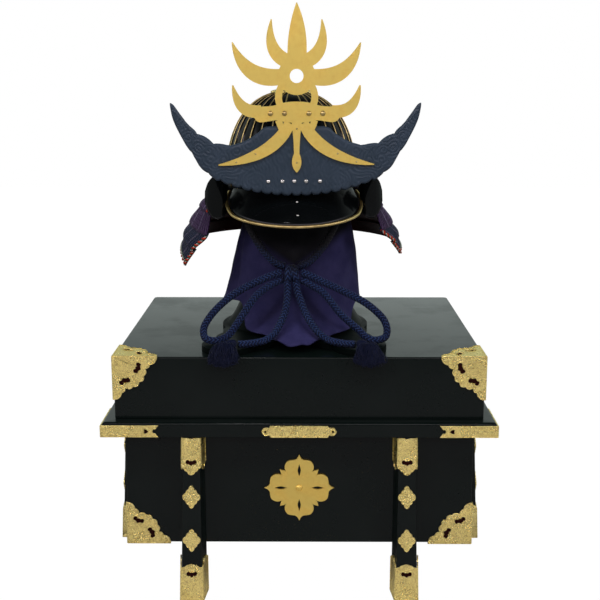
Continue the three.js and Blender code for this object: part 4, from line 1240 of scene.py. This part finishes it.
def makeEmblem():
    r, thick = emblemSettings["radius"], emblemSettings["thick"]
    half = [
        (0, 0.06), (0.14, 0.2), (0.30, 0.38), (0.405, 0.55), (0.41, 0.67), (0.33, 0.80), (0.2, 0.835),
        (0.12, 0.845), (0.05, 0.9), (0, 1.0),
    ]
    petal = mirrored([(p.x, p.y) for p in curveThrough([(x * r, y * r, 0) for x, y in half], 1.2)])
    slit = curveThrough([(0, 0.34 * r, 0), (0.045 * r, 0.52 * r, 0), (0, 0.72 * r, 0)], 1.0)
    slit = mirrored([(p.x, p.y) for p in slit])
    leaf = [(-0.05, 0.2), (0.05, 0.2), (0.085, 0.5), (0.07, 0.66), (0, 0.78), (-0.07, 0.66), (-0.085, 0.5)]
    leaf = [(x * r, y * r) for x, y in leaf]
    outlines, cutters = [circlePoints(0, 0, 0.24 * r, 48)], []
    for k in range(4):
        outlines += [moved(petal, 0, 0, k * math.pi / 2), moved(leaf, 0, 0, (k + 0.5) * math.pi / 2)]
        cutters.append(moved(slit, 0, 0, k * math.pi / 2))
    y = body[0][1] / mm - giltSettings["gap"]
    onto = lambda a, b, h: Vector((a, y - h, b + emblemSettings["z"])) * mm
    emblem = flatUnion("gilt_emblem", outlines, cutters, thick, onto, emblemSettings["edge"], plainGilt)
    place(emblem, "gilt_brass", "chest_emblem")
    centre = dome(onto(0, 0, thick - 0.1), (0, -1, 0), 5 * mm, 2.2 * mm, 24)
    addPiece("emblem_boss", centre, plainGilt, 0, "gilt_brass")


makeEmblem()
print("the chest and its fittings are made")

# the stand
standSettings = {
    "middle": (-8, -20), "disc": (0, -6, 118), "lobes": ((-99, -154, 40), (99, -154, 40)), "edge": 1.2,
    "wall": 6,
    "lobeSteps": ((1, 1), (0.72, 1.25), (0.42, 1.8)), "power": 2.3,
    "profile": [
        (110, 96, 0.3), (106.5, 93, 5), (98, 86, 18.3), (84, 76, 50.3), (78, 70, 80), (76, 68, 95.5),
        (70, 62, 160.5),
    ],
}


def makeStand():
    s = standSettings
    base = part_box("stand_base")
    onto = lambda x, y, z: Vector((x + s["middle"][0], y + s["middle"][1], z)) * mm
    outlines = [circlePoints(*s["disc"], 96)]
    for x, y, r in s["lobes"]:
        outlines += [circlePoints(x * near, y * near, r * grow, 96) for near, grow in s["lobeSteps"]]
    low, thick = base[0][2] / mm, (base[1][2] - base[0][2]) / mm
    plate = flatUnion(
        "stand_plate", outlines, [], thick, lambda x, y, h: onto(x, y, low + h), s["edge"], standLacquer
    )
    place(plate, "black_lacquered_wood", "stand_base")
    line = [Vector(p) for p in s["profile"]]
    line = [splinePoint(line, i, k / 4) for i in range(len(line) - 1) for k in range(4)] + [line[-1]]
    top = base[1][2] / mm

    def ring(rx, ry, z):
        points = []
        for k in range(120):
            a = 2 * math.pi * k / 120
            c, n = math.cos(a), math.sin(a)
            r = (abs(c) ** s["power"] + abs(n) ** s["power"]) ** (-1 / s["power"])
            points.append(onto(rx * r * c, ry * r * n, top + z))
        return points

    wall = s["wall"]
    rings = [ring(p.x - wall, p.y - wall, min(p.z, line[-1].z - wall)) for p in reversed(line)]
    rings += [ring(*p) for p in line] + [ring(line[-1].x - 1.2, line[-1].y - 1.2, line[-1].z + 0.2)]
    addPiece("stand_shell", loft(rings), standLacquer, 40, "black_lacquered_wood", "stand_body")
    place(nodeCopy("stand_post", "stand_pad", standLacquer, 0.001), "black_lacquered_wood", "stand_post")


makeStand()

# the cloth over the stand
clothSettings = {
    "middle": (-8, -20), "thick": 1.6, "around": 230, "rows": 84,
    "profile": [
        (0.1, 749), (20, 747.2), (42, 735), (57, 716), (64, 690), (70, 650), (77, 600), (86, 550), (93, 505),
        (97, 460),
        (100, 425), (107, 404), (118, 392),
    ],
    "fin": {"turn": -1.28, "width": 0.24, "out": 21.0}, "crease": {"turn": -1.07, "deep": 3.4},
    "lift": 0.18, "rightSwell": 4.5,
    # folds that fan out below the knot: how far out, turn at the knot, its change down to the hem, width
    "folds": [(-3.4, 0.25, 0.42, 0.075), (2.0, 0.42, 0.45, 0.08), (-2.2, -0.30, -0.3, 0.07)],
}


def clothRow(share):
    rows = [Vector((r, z, 0)) for r, z in clothSettings["profile"]]
    at = min(max(share, 0.0), 1.0) * (len(rows) - 1)
    i = min(len(rows) - 2, int(at))
    p = splinePoint(rows, i, at - i)
    return p.x, p.y


def valley(value, middle, width):
    return math.exp(-(((value - middle) / width) ** 2))


def clothPoint(turn, along, inward):
    s = clothSettings
    aside = math.pi / 2 - abs(abs(turn) - math.pi / 2)
    low, high = (0.60, 1.02) if turn < 0 else (0.72, 1.3)
    lift = min(1.0, max(0.0, (aside - low) / (high - low)))
    share = along * (1 - s["lift"] * lift * lift * (3 - 2 * lift))
    radius, z = clothRow(share)
    front = max(0.0, math.cos(turn))
    low = max(0.0, (share - 0.55) / 0.45)
    fold = 1 + 0.035 * low * math.cos(9 * turn) + 0.02 * max(0.0, share - 0.3) * math.sin(5 * turn + 1)
    tip = 60 * low**4 * max(0.0, math.cos(turn - 0.07)) ** 9
    r = radius * fold
    belowKnot = (share - 0.66) / 0.34
    for out, middle, change, width in s["folds"]:
        r += out * max(0.0, belowKnot) * front**2 * valley(turn, middle + change * belowKnot, width)
    r -= 1.5 * max(0.0, share - 0.3) * valley(turn, 0.62, 0.12)
    # a sharp crease on the left and the corner that hangs beyond it
    crease = s["crease"]
    hang = max(0.0, (share - 0.42) / 0.4)
    r -= crease["deep"] * min(1.0, share * 2) * (
        1 / (1 + math.exp((turn - crease["turn"]) / 0.012))
    ) * (turn > -2.2)
    r += s["rightSwell"] * max(0.0, math.sin(turn)) ** 2 * min(1.0, share * 2)
    fin = s["fin"]
    r += fin["out"] * hang**2 * valley(turn, fin["turn"], fin["width"]) * (1.0 if turn < 0 else 0)
    p = Vector((r * math.sin(turn), -(r * 1.03 + tip) * math.cos(turn), z))
    wrinkle = noise.noise(Vector((p.x * 0.018, p.y * 0.018, p.z * 0.010))) * 1.6 + noise.noise(p * 0.05) * 0.5
    r += wrinkle * min(1.0, max(0.0, (share - 0.3) * 3)) * (1 - 0.8 * low**2) - inward
    tip *= 1 - 0.12 * valley(turn, 0.12, 0.05) * low
    curl = 2.6 * low**6 * (0.5 + 0.5 * math.sin(turn * 26)) * front**6
    drop = 5.2 * low**3 * front**8
    return (
        r * math.sin(turn), -(r * 1.03 + tip) * math.cos(turn),
        z - drop + curl - inward * (1 if share < 0.25 else 0),
    )


def makeCloth():
    s = clothSettings
    onto = lambda p: Vector((p[0] + s["middle"][0], p[1] + s["middle"][1], p[2])) * mm
    turns = [2 * math.pi * k / s["around"] - math.pi for k in range(s["around"])]
    rings = [[onto(clothPoint(t, i / s["rows"], 0)) for t in turns] for i in range(2, s["rows"] + 1)]
    rings += [
        [onto(clothPoint(t, i / s["rows"], s["thick"])) for t in turns] for i in range(s["rows"], 1, -1)
    ]
    cloth = addPiece("draped_cloth", loft(rings), purpleCloth, 0, "purple_cloth", "cloth")
    hem = [onto(clothPoint(t, 0.996, s["thick"] / 2)) for t in turns]
    edge = addPiece("cloth_hem", closedTube(wireRings(hem, 1.15, 8, True)), purpleCloth, 0, "purple_cloth")


makeCloth()
print("the stand and the cloth are made")

# the helmet, which sits turned a little on its stand
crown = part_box("crown_ring")
helmetSettings = {
    "turn": 4.0, "x": (crown[0][0] + crown[1][0]) / 2 / mm, "y": (crown[0][1] + crown[1][1]) / 2 / mm
}
turnCos = math.cos(math.radians(helmetSettings["turn"]))
turnSin = math.sin(math.radians(helmetSettings["turn"]))


# from the helmet's own millimetres to the scene
def onHelmet(x, y, z):
    h = helmetSettings
    return Vector((h["x"] + x * turnCos - y * turnSin, h["y"] + x * turnSin + y * turnCos, z)) * mm


# a smooth run through a few given columns of points
def smoothColumns(columns, steps):
    rows = []
    for key in range(len(columns[0])):
        p = [Vector(c[key]) for c in columns]
        rows.append([splinePoint(p, i, k / steps) for i in range(len(p) - 1) for k in range(steps)] + [p[-1]])
    return list(zip(*rows))


# the ribbed bowl
bowlSettings = {
    "halfWidth": 103, "halfDepth": 117, "rimZ": 605, "height": 150, "wall": 3, "squareness": 2.4, "ribs": 32,
    "ribHeight": 1.7, "ribWidth": 0.16, "plateSwell": 0.7, "acrossPlate": 12, "goldRadius": 0.85,
    "top": 0.935,
}


def bowlPoint(turn, rise, grow):
    b = bowlSettings
    lift = math.sin(rise * math.pi / 2)
    shrink = max(0.0, 1 - lift ** b["squareness"]) ** (1 / b["squareness"])
    return (
        (b["halfWidth"] + grow) * shrink * math.sin(turn), -(b["halfDepth"] + grow) * shrink * math.cos(turn),
        b["rimZ"] + (b["height"] + grow) * lift,
    )


# how far the plates and ribs stand out: plate counts round from the front
def bowlRelief(plate, rise):
    b = bowlSettings
    rib = round(plate)
    nearFront = rib % b["ribs"] == 0
    away = abs(plate - rib)
    fade = min(1.0, (1 - rise) * 7, 0.25 + rise * 12)
    ridge = 0 if nearFront else b["ribHeight"] * max(0.0, 1 - (away / b["ribWidth"]) ** 2) ** 0.5
    swell = b["plateSwell"] * (1 if nearFront else math.sin(math.pi * (plate % 1)))
    return (ridge + swell * 0.6) * fade


def makeBowl():
    b = bowlSettings
    around = b["ribs"] * b["acrossPlate"]
    rises = [b["top"] * (k / 44) ** 0.95 for k in range(45)]
    rings = []
    for rise in rises:
        ring = []
        for k in range(around):
            plate = k / b["acrossPlate"]
            ring.append(onHelmet(*bowlPoint(2 * math.pi * plate / b["ribs"], rise, bowlRelief(plate, rise))))
        rings.append(ring)
    for rise in reversed(rises[::6]):
        rings.append(
            [onHelmet(*bowlPoint(2 * math.pi * k / around, rise, -b["wall"])) for k in range(around)]
        )
    addPiece("ribbed_bowl", closedTube(rings), ironLacquer, 40, "black_lacquered_iron", "bowl")

    parts = []
    for rib in range(1, b["ribs"]):
        line = []
        for k in range(30):
            rise = 0.012 + 0.868 * k / 29
            line.append(
                onHelmet(*bowlPoint(2 * math.pi * rib / b["ribs"], rise, bowlRelief(rib, rise) - 0.1))
            )
        parts.append(loft(wireRings(line, b["goldRadius"], 8)))
    addPiece("rib_gilding", gather(parts), ribGilt, 0, "gilt_brass")


makeBowl()

# the crown's tiers, the lowest cut into petals: radius, height above the rim and depth of the petals
crownSettings = {
    "petals": 16,
    "profile": [
        (32.6, 149.7, 2.4), (32.4, 151.4, 2.4), (28, 153.0, 1.6), (24, 153.8, 0.4), (23, 154.0, 0),
        (22.8, 155.6, 0.6),
        (18.5, 156.4, 0.4), (17.2, 156.5, 0), (16.9, 158.0, 0), (14.4, 158.4, 0), (14.2, 160.0, 0),
        (12.6, 160.3, 0),
        (7.0, 160.3, 0), (6.2, 159.6, 0), (6.2, 152.0, 0), (17, 151.4, 0),
    ],
}


def makeCrown():
    c = crownSettings
    around = c["petals"] * 12
    base = bowlSettings["rimZ"]
    rings = []
    for radius, height, cut in c["profile"]:
        ring = []
        for k in range(around):
            a = 2 * math.pi * k / around
            petal = abs(math.sin(a * c["petals"] / 2)) ** 0.45
            r = radius - cut * (1 - petal)
            ring.append(onHelmet(r * math.sin(a), -r * math.cos(a), base + height + 0.5 * cut * (petal - 1)))
        rings.append(ring)
    addPiece("crown_tiers", closedTube(rings), engravedGilt, 40, "gilt_brass", "crown_ring")


makeCrown()

# the peak with its crease, rolled gilt rim and two pale rivets
visorSettings = {
    "halfWidth": 99.5, "reach": 84, "rootY": -78, "frontZ": 564.5, "rise": 19, "endRise": 22, "end": 0.6,
    "widest": 108,
    "thick": 3, "roll": 2.6, "swell": 5, "crease": 1.6, "rivets": (0.43, 0.78), "rivetRadius": 1.9,
}


def visorEdge(turn):
    v = visorSettings
    c = math.cos(turn)
    rise = v["rise"] * (1 - c) + v["endRise"] * max(0, 1 - c - v["end"])
    return (v["halfWidth"] * math.sin(turn), v["rootY"] - v["reach"] * c, v["frontZ"] + rise)


def visorPoint(turn, out, lower):
    v = visorSettings
    reach = turn * 0.56
    grow = bowlSettings["ribHeight"] + 0.9
    root = (
        (bowlSettings["halfWidth"] + grow) * math.sin(reach),
        -(bowlSettings["halfDepth"] + grow) * math.cos(reach),
        bowlSettings["rimZ"] + 5,
    )
    edge = visorEdge(turn)
    crease = v["crease"] * math.exp(-abs(turn) / 0.16)
    swell = math.sin(out * math.pi) * (v["swell"] * max(0, math.cos(turn)) + crease)
    return [root[i] * (1 - out) + edge[i] * out + (swell - lower if i == 2 else 0) for i in range(3)]


def makeVisor():
    v = visorSettings
    widest = math.radians(v["widest"])
    turns = [-widest + 2 * widest * k / 120 for k in range(121)]
    grid = lambda lower: [
        [onHelmet(*visorPoint(turn, 0.985 * i / 16, lower)) for turn in turns] for i in range(17)
    ]
    addPiece(
        "lacquered_visor", shell(grid(0), grid(v["thick"])), ironLacquer, 50, "black_lacquered_iron", "visor"
    )
    line = []
    for turn in turns:
        x, y, z = visorEdge(turn)
        out = v["roll"] + 1.4
        line.append(onHelmet(x + out * math.sin(turn), y - out * math.cos(turn), z - v["thick"] / 2))
    line = curveThrough(line, 0.0008)
    roll = lambda share, turn: (v["roll"] + 0.12 * math.sin(share * 560 + turn * 2)) * mm
    addPiece("visor_roll", loft(tubeRings(line, roll, 16)), ribGilt, 0, "gilt_brass", "visor_rim")
    parts = []
    for out in v["rivets"]:
        seat = onHelmet(*visorPoint(0.012, out, 0)) - Vector((0, 0, 0.4)) * mm
        parts.append(dome(seat, (0, -0.45, 0.9), v["rivetRadius"] * mm, 1.7 * mm))
    addPiece("visor_rivets", gather(parts), silver, 0, "gilt_brass")


makeVisor()

# the laced neck guard: distance out from the bowl, height and the front ends' angle, from the rim down
guardSettings = {
    "line": [
        (6.6, 608, 117), (24, 597, 117), (43, 580, 118), (60, 553, 124), (71, 533, 116), (75.5, 513, 107)
    ],
    "lames": 5, "lap": 0.04, "thick": 2, "clear": 0.9, "droopLeft": 26, "droopRight": 10,
    "braid": 6.4, "braidHeight": 1.2, "colors": {2: "purple", 3: "purple", 4: "navy", 5: "navy"}, "knots": 64,
    "knotHalf": 0.011,
}


def guardAt(along):
    p = [Vector(q) for q in guardSettings["line"]]
    placeOn = min(max(along, 0.0), 1.0) * (len(p) - 1)
    i = min(len(p) - 2, int(placeOn))
    return splinePoint(p, i, placeOn - i)


# side runs from -1 at the left front end through 0 at the back to 1 at the right front end
def guardPoint(side, along, inward):
    g = guardSettings
    out, z, end = guardAt(along)
    above, below = guardAt(along - 0.04), guardAt(along + 0.04)
    length = math.hypot(below[0] - above[0], below[1] - above[1])
    inwardOut = (below[1] - above[1]) / length * inward
    inwardZ = (above[0] - below[0]) / length * inward
    turn = side * math.radians(end)
    ends = max(0.0, (abs(side) - 0.62) / 0.38)
    standOff = 19 * ends**1.5 * max(0.0, 1 - 4 * along)
    droop = g["droopLeft" if side < 0 else "droopRight"] * ends**2 * along**2
    reach = out + standOff + inwardOut
    return onHelmet(
        (bowlSettings["halfWidth"] + reach) * math.sin(turn),
        (bowlSettings["halfDepth"] + reach) * math.cos(turn) + 8 * along, z - droop + inwardZ,
    )


# from, to and how deep the top is tucked, with the first lame as 0
def lameSpan(number):
    g = guardSettings
    start = number / g["lames"] - (g["lap"] / 2 if number else 0)
    return start, min(1.0, (number + 1) / g["lames"] + g["lap"] / 2), (
        g["thick"] + g["clear"] if number else 0
    )


def lameTuck(number, along):
    g = guardSettings
    start, _, tuck = lameSpan(number)
    straight, free = start + g["lap"] * 1.6, (number + 1) / g["lames"] + g["lap"] / 2 - g["lap"] * 1.4
    return tuck * min(1.0, max(0.0, (free - along) / (free - straight)))


def lameGrid(number, rows, columns, offset, high=1.0):
    start, end = lameSpan(number)[:2]
    grid = []
    for i in range(rows):
        share = high * i / (rows - 1)
        along = start + (end - start) * share
        grid.append([])
        for k in range(columns):
            side = -1 + 2 * k / (columns - 1)
            grid[-1].append(guardPoint(side, along, lameTuck(number, along) + offset(share, side, k)))
    return grid


def makeLame(number):
    g = guardSettings
    rows, columns = 9, 151
    base = 0.0 if number == 0 else 1.0
    front = lameGrid(number, rows, columns, lambda share, side, k: base)
    back = lameGrid(number, rows, columns, lambda share, side, k: g["thick"] - (0 if number else 0.6))
    verts, faces = shell(front, back)
    obj = makeObject(f"lame_{number + 1}_plate", verts, faces, ironLacquer, 50)
    obj.data.materials.append(redLacquer)
    for n in range(1, 2 * (rows - 1) * (columns - 1), 2):
        obj.data.polygons[n].material_index = 1
    return place(outward(obj), "black_lacquered_iron", *([] if number == 0 else [f"neck_guard_{number + 1}"]))


# flat braids side by side down one lame, thick where they turn under its lower edge
def makeLacing(number):
    g = guardSettings
    start, end = lameSpan(number)[:2]
    middle = guardAt((start + end) / 2)
    arc = 2 * math.radians(middle[2]) * (bowlSettings["halfWidth"] + 7 + middle[0])
    braids = round(arc / g["braid"])
    across, rows = 5, 10
    high = 0.80 if number == g["lames"] - 1 else 1.0

    def outer(share, side, k):
        bulge = 0.5 + 0.9 * math.sin(math.pi * min(1.0, (share / high) ** 3)) if share < high else 0.4
        roundness = 0.25 + math.sin(math.pi * (k % across) / across) ** 0.7
        return 1.25 - g["braidHeight"] * roundness * (0.8 + 0.5 * bulge)

    columns = braids * across + 1
    front = lameGrid(number, rows, columns, outer, high)
    back = lameGrid(number, rows, columns, lambda share, side, k: 1.25, high)
    verts, faces = shell(front, back)
    color = g["colors"][number + 1]
    material = {"purple": purpleBraid, "navy": navyBraid}[color]
    obj = makeObject(f"lame_{number + 1}_lacing", verts, faces, material, 0)
    uv = obj.data.uv_layers.new(name="UVMap")
    half = rows * columns
    for loop in obj.data.loops:
        v = loop.vertex_index % half
        uv.data[loop.index].uv = (v % columns / across, v // columns * 0.62)
    place(outward(obj), color + "_lacing")

    # pale threads that lie between some of the braids
    parts = []
    for b in range(4, braids - 1, 5):
        side = -1 + 2 * b / braids
        line = []
        for i in range(7):
            along = start + (end - start) * (0.12 + 0.86 * high * i / 6)
            line.append(guardPoint(side, along, lameTuck(number, along) - 0.55))
        parts.append(loft(wireRings(line, 0.42, 6)))
    addPiece(f"lame_{number + 1}_threads", gather(parts), paleThread, 0, "purple_lacing")


# strands twisted round a line
def edgeBraid(name, points, material, radius=1.5, pitch=7.0, phase=0.0, strands=2):
    line = curveThrough(points, 0.0015)
    length = curveLength(line) / mm
    guides = wireRings(line, radius * 0.62, 24)
    parts = []
    for s in range(strands):
        strandLine = []
        for i, ring in enumerate(guides):
            a = (i / (len(line) - 1) * length / pitch + s / strands + phase) % 1 * 24
            k = int(a)
            strandLine.append(ring[k % 24].lerp(ring[(k + 1) % 24], a - k))
        parts.append(loft(wireRings(strandLine, radius * 0.62, 7)))
    return addPiece(name, gather(parts), material, 0, "purple_lacing")


# braids along the lames' front ends: colour, radius, pitch, phase and strands
hemMaterials = {"red": redBraid, "white": whiteBraid, "green": greenBraid}
narrowBraids = [("red", 2.4, 9.0, 0.0, 1), ("white", 1.5, 9.0, 0.35, 1), ("green", 1.5, 9.0, 0.68, 1)]
endBraids = {1: [("red", 4.2, 30.0, 0.0, 3)], 3: narrowBraids, 4: narrowBraids}


def makeNeckGuard():
    g = guardSettings
    for number in range(g["lames"]):
        makeLame(number)
        if number:
            makeLacing(number)
    start, end = lameSpan(g["lames"] - 1)[:2]
    # cross knots and a two-coloured line along the lowest board
    knots = []
    for n in range(g["knots"]):
        side = -0.985 + 1.97 * n / (g["knots"] - 1)
        for lean in (-1, 1):
            line = []
            for i in range(5):
                t = i / 4
                along = start + (end - start) * (0.86 + 0.11 * t)
                lift = -0.5 - 0.5 * math.sin(math.pi * t)
                line.append(guardPoint(side + lean * g["knotHalf"] * (t - 0.5), along, lift))
            knots.append(loft(wireRings(line, 1.15, 7)))
    addPiece("cross_knots", gather(knots), redBraid, 0, "purple_lacing")
    run = [guardPoint(-0.99 + 1.98 * k / 80, start + (end - start) * 0.82, -0.6) for k in range(81)]
    edgeBraid("hem_line_white", run, whiteBraid, 1.2, 6.0, 0.0, 1)
    edgeBraid("hem_line_green", run, greenBraid, 1.2, 6.0, 0.5, 1)
    for side, label in ((-1, "left"), (1, "right")):
        for number, braids in endBraids.items():
            start, end = lameSpan(number)[:2]
            alongs = [start + (end - start) * (0.08 + 0.9 * i / 6) for i in range(7)]
            points = [guardPoint(side * 0.994, along, lameTuck(number, along) - 0.2) for along in alongs]
            for color, *sizes in braids:
                name = f"end_braid_{number + 1}_{label}_{color}"
                edgeBraid(name, points, hemMaterials[color], *sizes)


# the wings that the top lame turns back into: upper edge, lower edge and which way is behind
wingSettings = {
    "columns": [
        ((112, -52, 612), (116, -54, 600), (1, -0.1, 0)), ((101, -60, 621), (104, -72, 586), (1, 0.05, 0)),
        ((103, -72, 627), (104, -83, 577), (0.88, 0.47, 0)),
        ((110, -82, 630), (109, -90, 570), (0.51, 0.86, 0)),
        ((121, -87, 630), (120, -91, 567), (-0.26, 0.97, 0)),
        ((130, -83, 621), (130, -86, 574), (-0.54, 0.84, 0)),
        ((135.5, -78, 607), (136, -80, 591), (-0.6, 0.8, 0)),
    ],
    "thick": 2.6, "rolled": 1.7,
}


def makeWing(side, label):
    w = wingSettings
    columns = smoothColumns(w["columns"], 6)
    rows = 9

    def point(up, low, behind, down, deep):
        p = up.lerp(low, down) + behind * deep
        return onHelmet(side * p.x, p.y, p.z)

    grid = lambda deep: [[point(*column, r / (rows - 1), deep) for column in columns] for r in range(rows)]
    wing = outward(makeObject(f"wing_{label}", *shell(grid(0), grid(w["thick"])), ironLacquer, 50))
    middle = grid(w["thick"] / 2)
    outline = middle[0][3:] + [row[-1] for row in middle[1:-1]] + list(reversed(middle[-1][3:]))
    roll = loft(wireRings(curveThrough(outline, 0.002), w["rolled"], 10))
    addPiece(f"wing_roll_{label}", roll, ironLacquer, 0, "black_lacquered_iron")
    return wing


makeNeckGuard()
wings = [makeWing(-1, "left"), makeWing(1, "right")]
place(wings[0], "black_lacquered_iron", "neck_guard_1")
place(wings[1], "black_lacquered_iron")
print("bowl, visor and neck guard are made")

# the cloud-shaped crescent: half of its upper and lower edges from the middle out to the tip
crescentSettings = {
    "front": -143.0, "thick": 6.0, "edge": 3.6, "relief": 0.9, "scrollPitch": 5.2, "tip": 3.0,
    "upper": [
        (0, 706), (46, 706), (56, 698), (76, 686), (98, 680), (116, 682), (137, 693), (155, 707), (168, 722),
        (182.5, 741),
    ],
    "lowerHorn": [(118, 631), (134, 643), (146, 660), (158, 677), (169, 697), (178, 718), (182.5, 741)],
    "scallops": 8, "studs": (-41.5, -21, -3.5, 14, 34.5), "studZ": 627.8, "studRadius": 3.2,
}


def evenly(points, count):
    line = curveThrough([(x, z, 0) for x, z in points], 1.0)
    return [line[round(k * (len(line) - 1) / (count - 1))] for k in range(count)]


# rings carved round the nearest of the scattered centres
def scrollRelief(x, z, centres):
    warp = noise.noise_vector((x * 0.03, z * 0.03, 3.0)) * 7
    near = min(math.hypot(x + warp.x - a, (z + warp.y - b) * 1.15) - r for a, b, r in centres)
    ring = 0.5 + 0.5 * math.sin(near * 2 * math.pi / crescentSettings["scrollPitch"])
    return ring**0.7


def makeCrescent():
    c = crescentSettings
    rng = random.Random(7)
    centres = [(rng.uniform(0, 185), rng.uniform(600, 745), rng.uniform(0, 6)) for n in range(64)]
    columns, rows = 196, 38
    upper = evenly(c["upper"], columns)
    low = []
    for i in range(c["scallops"] * 10 + 1):
        x = 118 * i / (c["scallops"] * 10)
        lobe = abs(math.sin(math.pi * (x / 118 * c["scallops"] + 0.5)))
        low.append((x, 607 + 24 * (x / 118) ** 2.2 - 3.2 * lobe**0.6 + 2.2))
    lower = evenly(low[:-1], round(columns * 0.62)) + evenly(c["lowerHorn"], columns - round(columns * 0.62))
    for half in (upper, lower):
        half[0].x = 0
    for k in range(columns):
        share = k / (columns - 1)
        puff = abs(math.sin(share * math.pi * 8 + 0.6)) ** 0.6
        strong = min(1.0, max(0.0, (share - 0.42) * 8)) * min(1.0, max(0.0, (0.86 - share) * 8))
        upper[k].y += (3.4 * puff - 1.6) * strong
        upper[k].x -= (1.6 * puff - 0.8) * strong
        if share > 0.56:
            puff = abs(math.sin(share * math.pi * 9)) ** 0.6
            strong = min(1.0, (share - 0.56) * 8) * min(1.0, max(0.0, (0.84 - share) * 8))
            lower[k].x += (3.0 * puff - 1.4) * strong
            lower[k].y -= (2.0 * puff - 1.0) * strong
        fade = math.sqrt(max(0.0, 1 - max(0.0, (share - 0.97) / 0.03) ** 2))
        blunt = c["tip"] * max(0.0, (share - 0.8) / 0.2) ** 0.5 * fade
        upper[k].x -= blunt
        lower[k].x += blunt * 0.35
    front, back = [], []
    for i in range(rows):
        t = i / (rows - 1)
        frontRow, backRow = [], []
        for side in (-1, 1):
            span = range(columns - 1, 0, -1) if side < 0 else range(columns)
            for k in span:
                p = lower[k].lerp(upper[k], t)
                gapHere = (upper[k] - lower[k]).length
                rim = min(1.0, min(t, 1 - t) * gapHere / c["edge"], (columns - 1 - k) / 6)
                height = scrollRelief(p.x, p.y, centres) * c["relief"] * rim
                fall = 1.6 * (1 - rim) ** 2
                frontRow.append(onHelmet(side * p.x, c["front"] - height + 0.6 + fall, p.y))
                backRow.append(onHelmet(side * p.x, c["front"] + c["thick"], p.y))
        front.append(frontRow)
        back.append(backRow)
    addPiece("carved_crescent", shell(front, back), crescentPaint, 60, "slate_blue_board", "crescent")
    stud = lambda x: dome(
        onHelmet(x, c["front"] + 0.4, c["studZ"]), (0, -1, 0), c["studRadius"] * mm, 2.6 * mm
    )
    parts = [stud(x) for x in c["studs"]]
    addPiece("crescent_studs", gather(parts), silver, 0, "gilt_brass")


makeCrescent()


# the flaming crest: a pierced disc, tongues of flame, a riveted band and three blades below
crestSettings = {
    "thick": 2.6, "edge": 0.5, "disc": (0, 779, 27, 10), "rivets": (-38, -17.7, 17.7, 38), "rivetZ": 726,
    "rivetRadius": 4.0, "pins": ((0, 704), (-60, 668), (60, 668), (-88, 656), (88, 656), (0, 655)),
    "middle": [
        ((0, 796), (2, 842), (0, 881), 26, 34, 1), ((0, 668), (0, 652), (0, 641), 8, 22, 1.5),
        ((0, 668), (0, 690), (0, 716), 8, 8, 16),
    ],
    "paired": [
        ((10, 712), (34, 662), (114, 652), 15, 26, 1.5), ((14, 800), (44, 812), (36, 858), 20, 22, 1.5),
        ((22, 778), (74, 770), (92, 826), 22, 32, 1.5), ((50, 730), (84, 722), (92, 766), 16, 24, 2),
        ((24, 738), (30, 752), (20, 768), 10, 10, 10), ((14, 690), (22, 700), (26, 716), 8, 8, 10),
    ],
    "band": [
        (-63, 722), (-56, 714), (-30, 716), (-12, 713), (12, 713), (30, 716), (56, 714), (63, 722), (60, 733),
        (34, 737), (14, 742), (-14, 742), (-34, 737), (-60, 733),
    ],
}


def makeCrest():
    c = crestSettings
    x, z, radius, hole = c["disc"]
    band = [tuple(p[:2]) for p in curveThrough([(a, b, 0) for a, b in c["band"] + c["band"][:1]], 2.0)[:-1]]
    outlines = [circlePoints(x, z, radius, 72), band] + [bladeOutline(*b) for b in c["middle"]]
    for *line, root, mid, tip in c["paired"]:
        outlines.append(bladeOutline(*line, root, mid, tip))
        outlines.append(bladeOutline(*[(-a, b) for a, b in line], root, mid, tip))
    front = crescentSettings["front"] - 0.3 - c["thick"]
    onto = lambda a, b, h: onHelmet(a, front + c["thick"] - h, b)
    crest = flatUnion(
        "flaming_crest", outlines, [circlePoints(x, z, hole, 48)], c["thick"], onto, c["edge"], plainGilt
    )
    place(crest, "gilt_brass", "crest")
    head = lambda a, b, radius, height: dome(onHelmet(a, front, b), (0, -1, 0), radius * mm, height * mm)
    parts = [head(a, c["rivetZ"], c["rivetRadius"], 3.0) for a in c["rivets"]]
    parts += [head(a, b, 1.5, 1.1) for a, b in c["pins"]]
    addPiece("crest_rivets", gather(parts), ribGilt, 0, "gilt_brass")


makeCrest()
place(nodeCopy("crest_bracket", "crest_socket", engravedGilt, 0.0008), "gilt_brass", "crest_bracket")
print("the crescent and the crest are made")
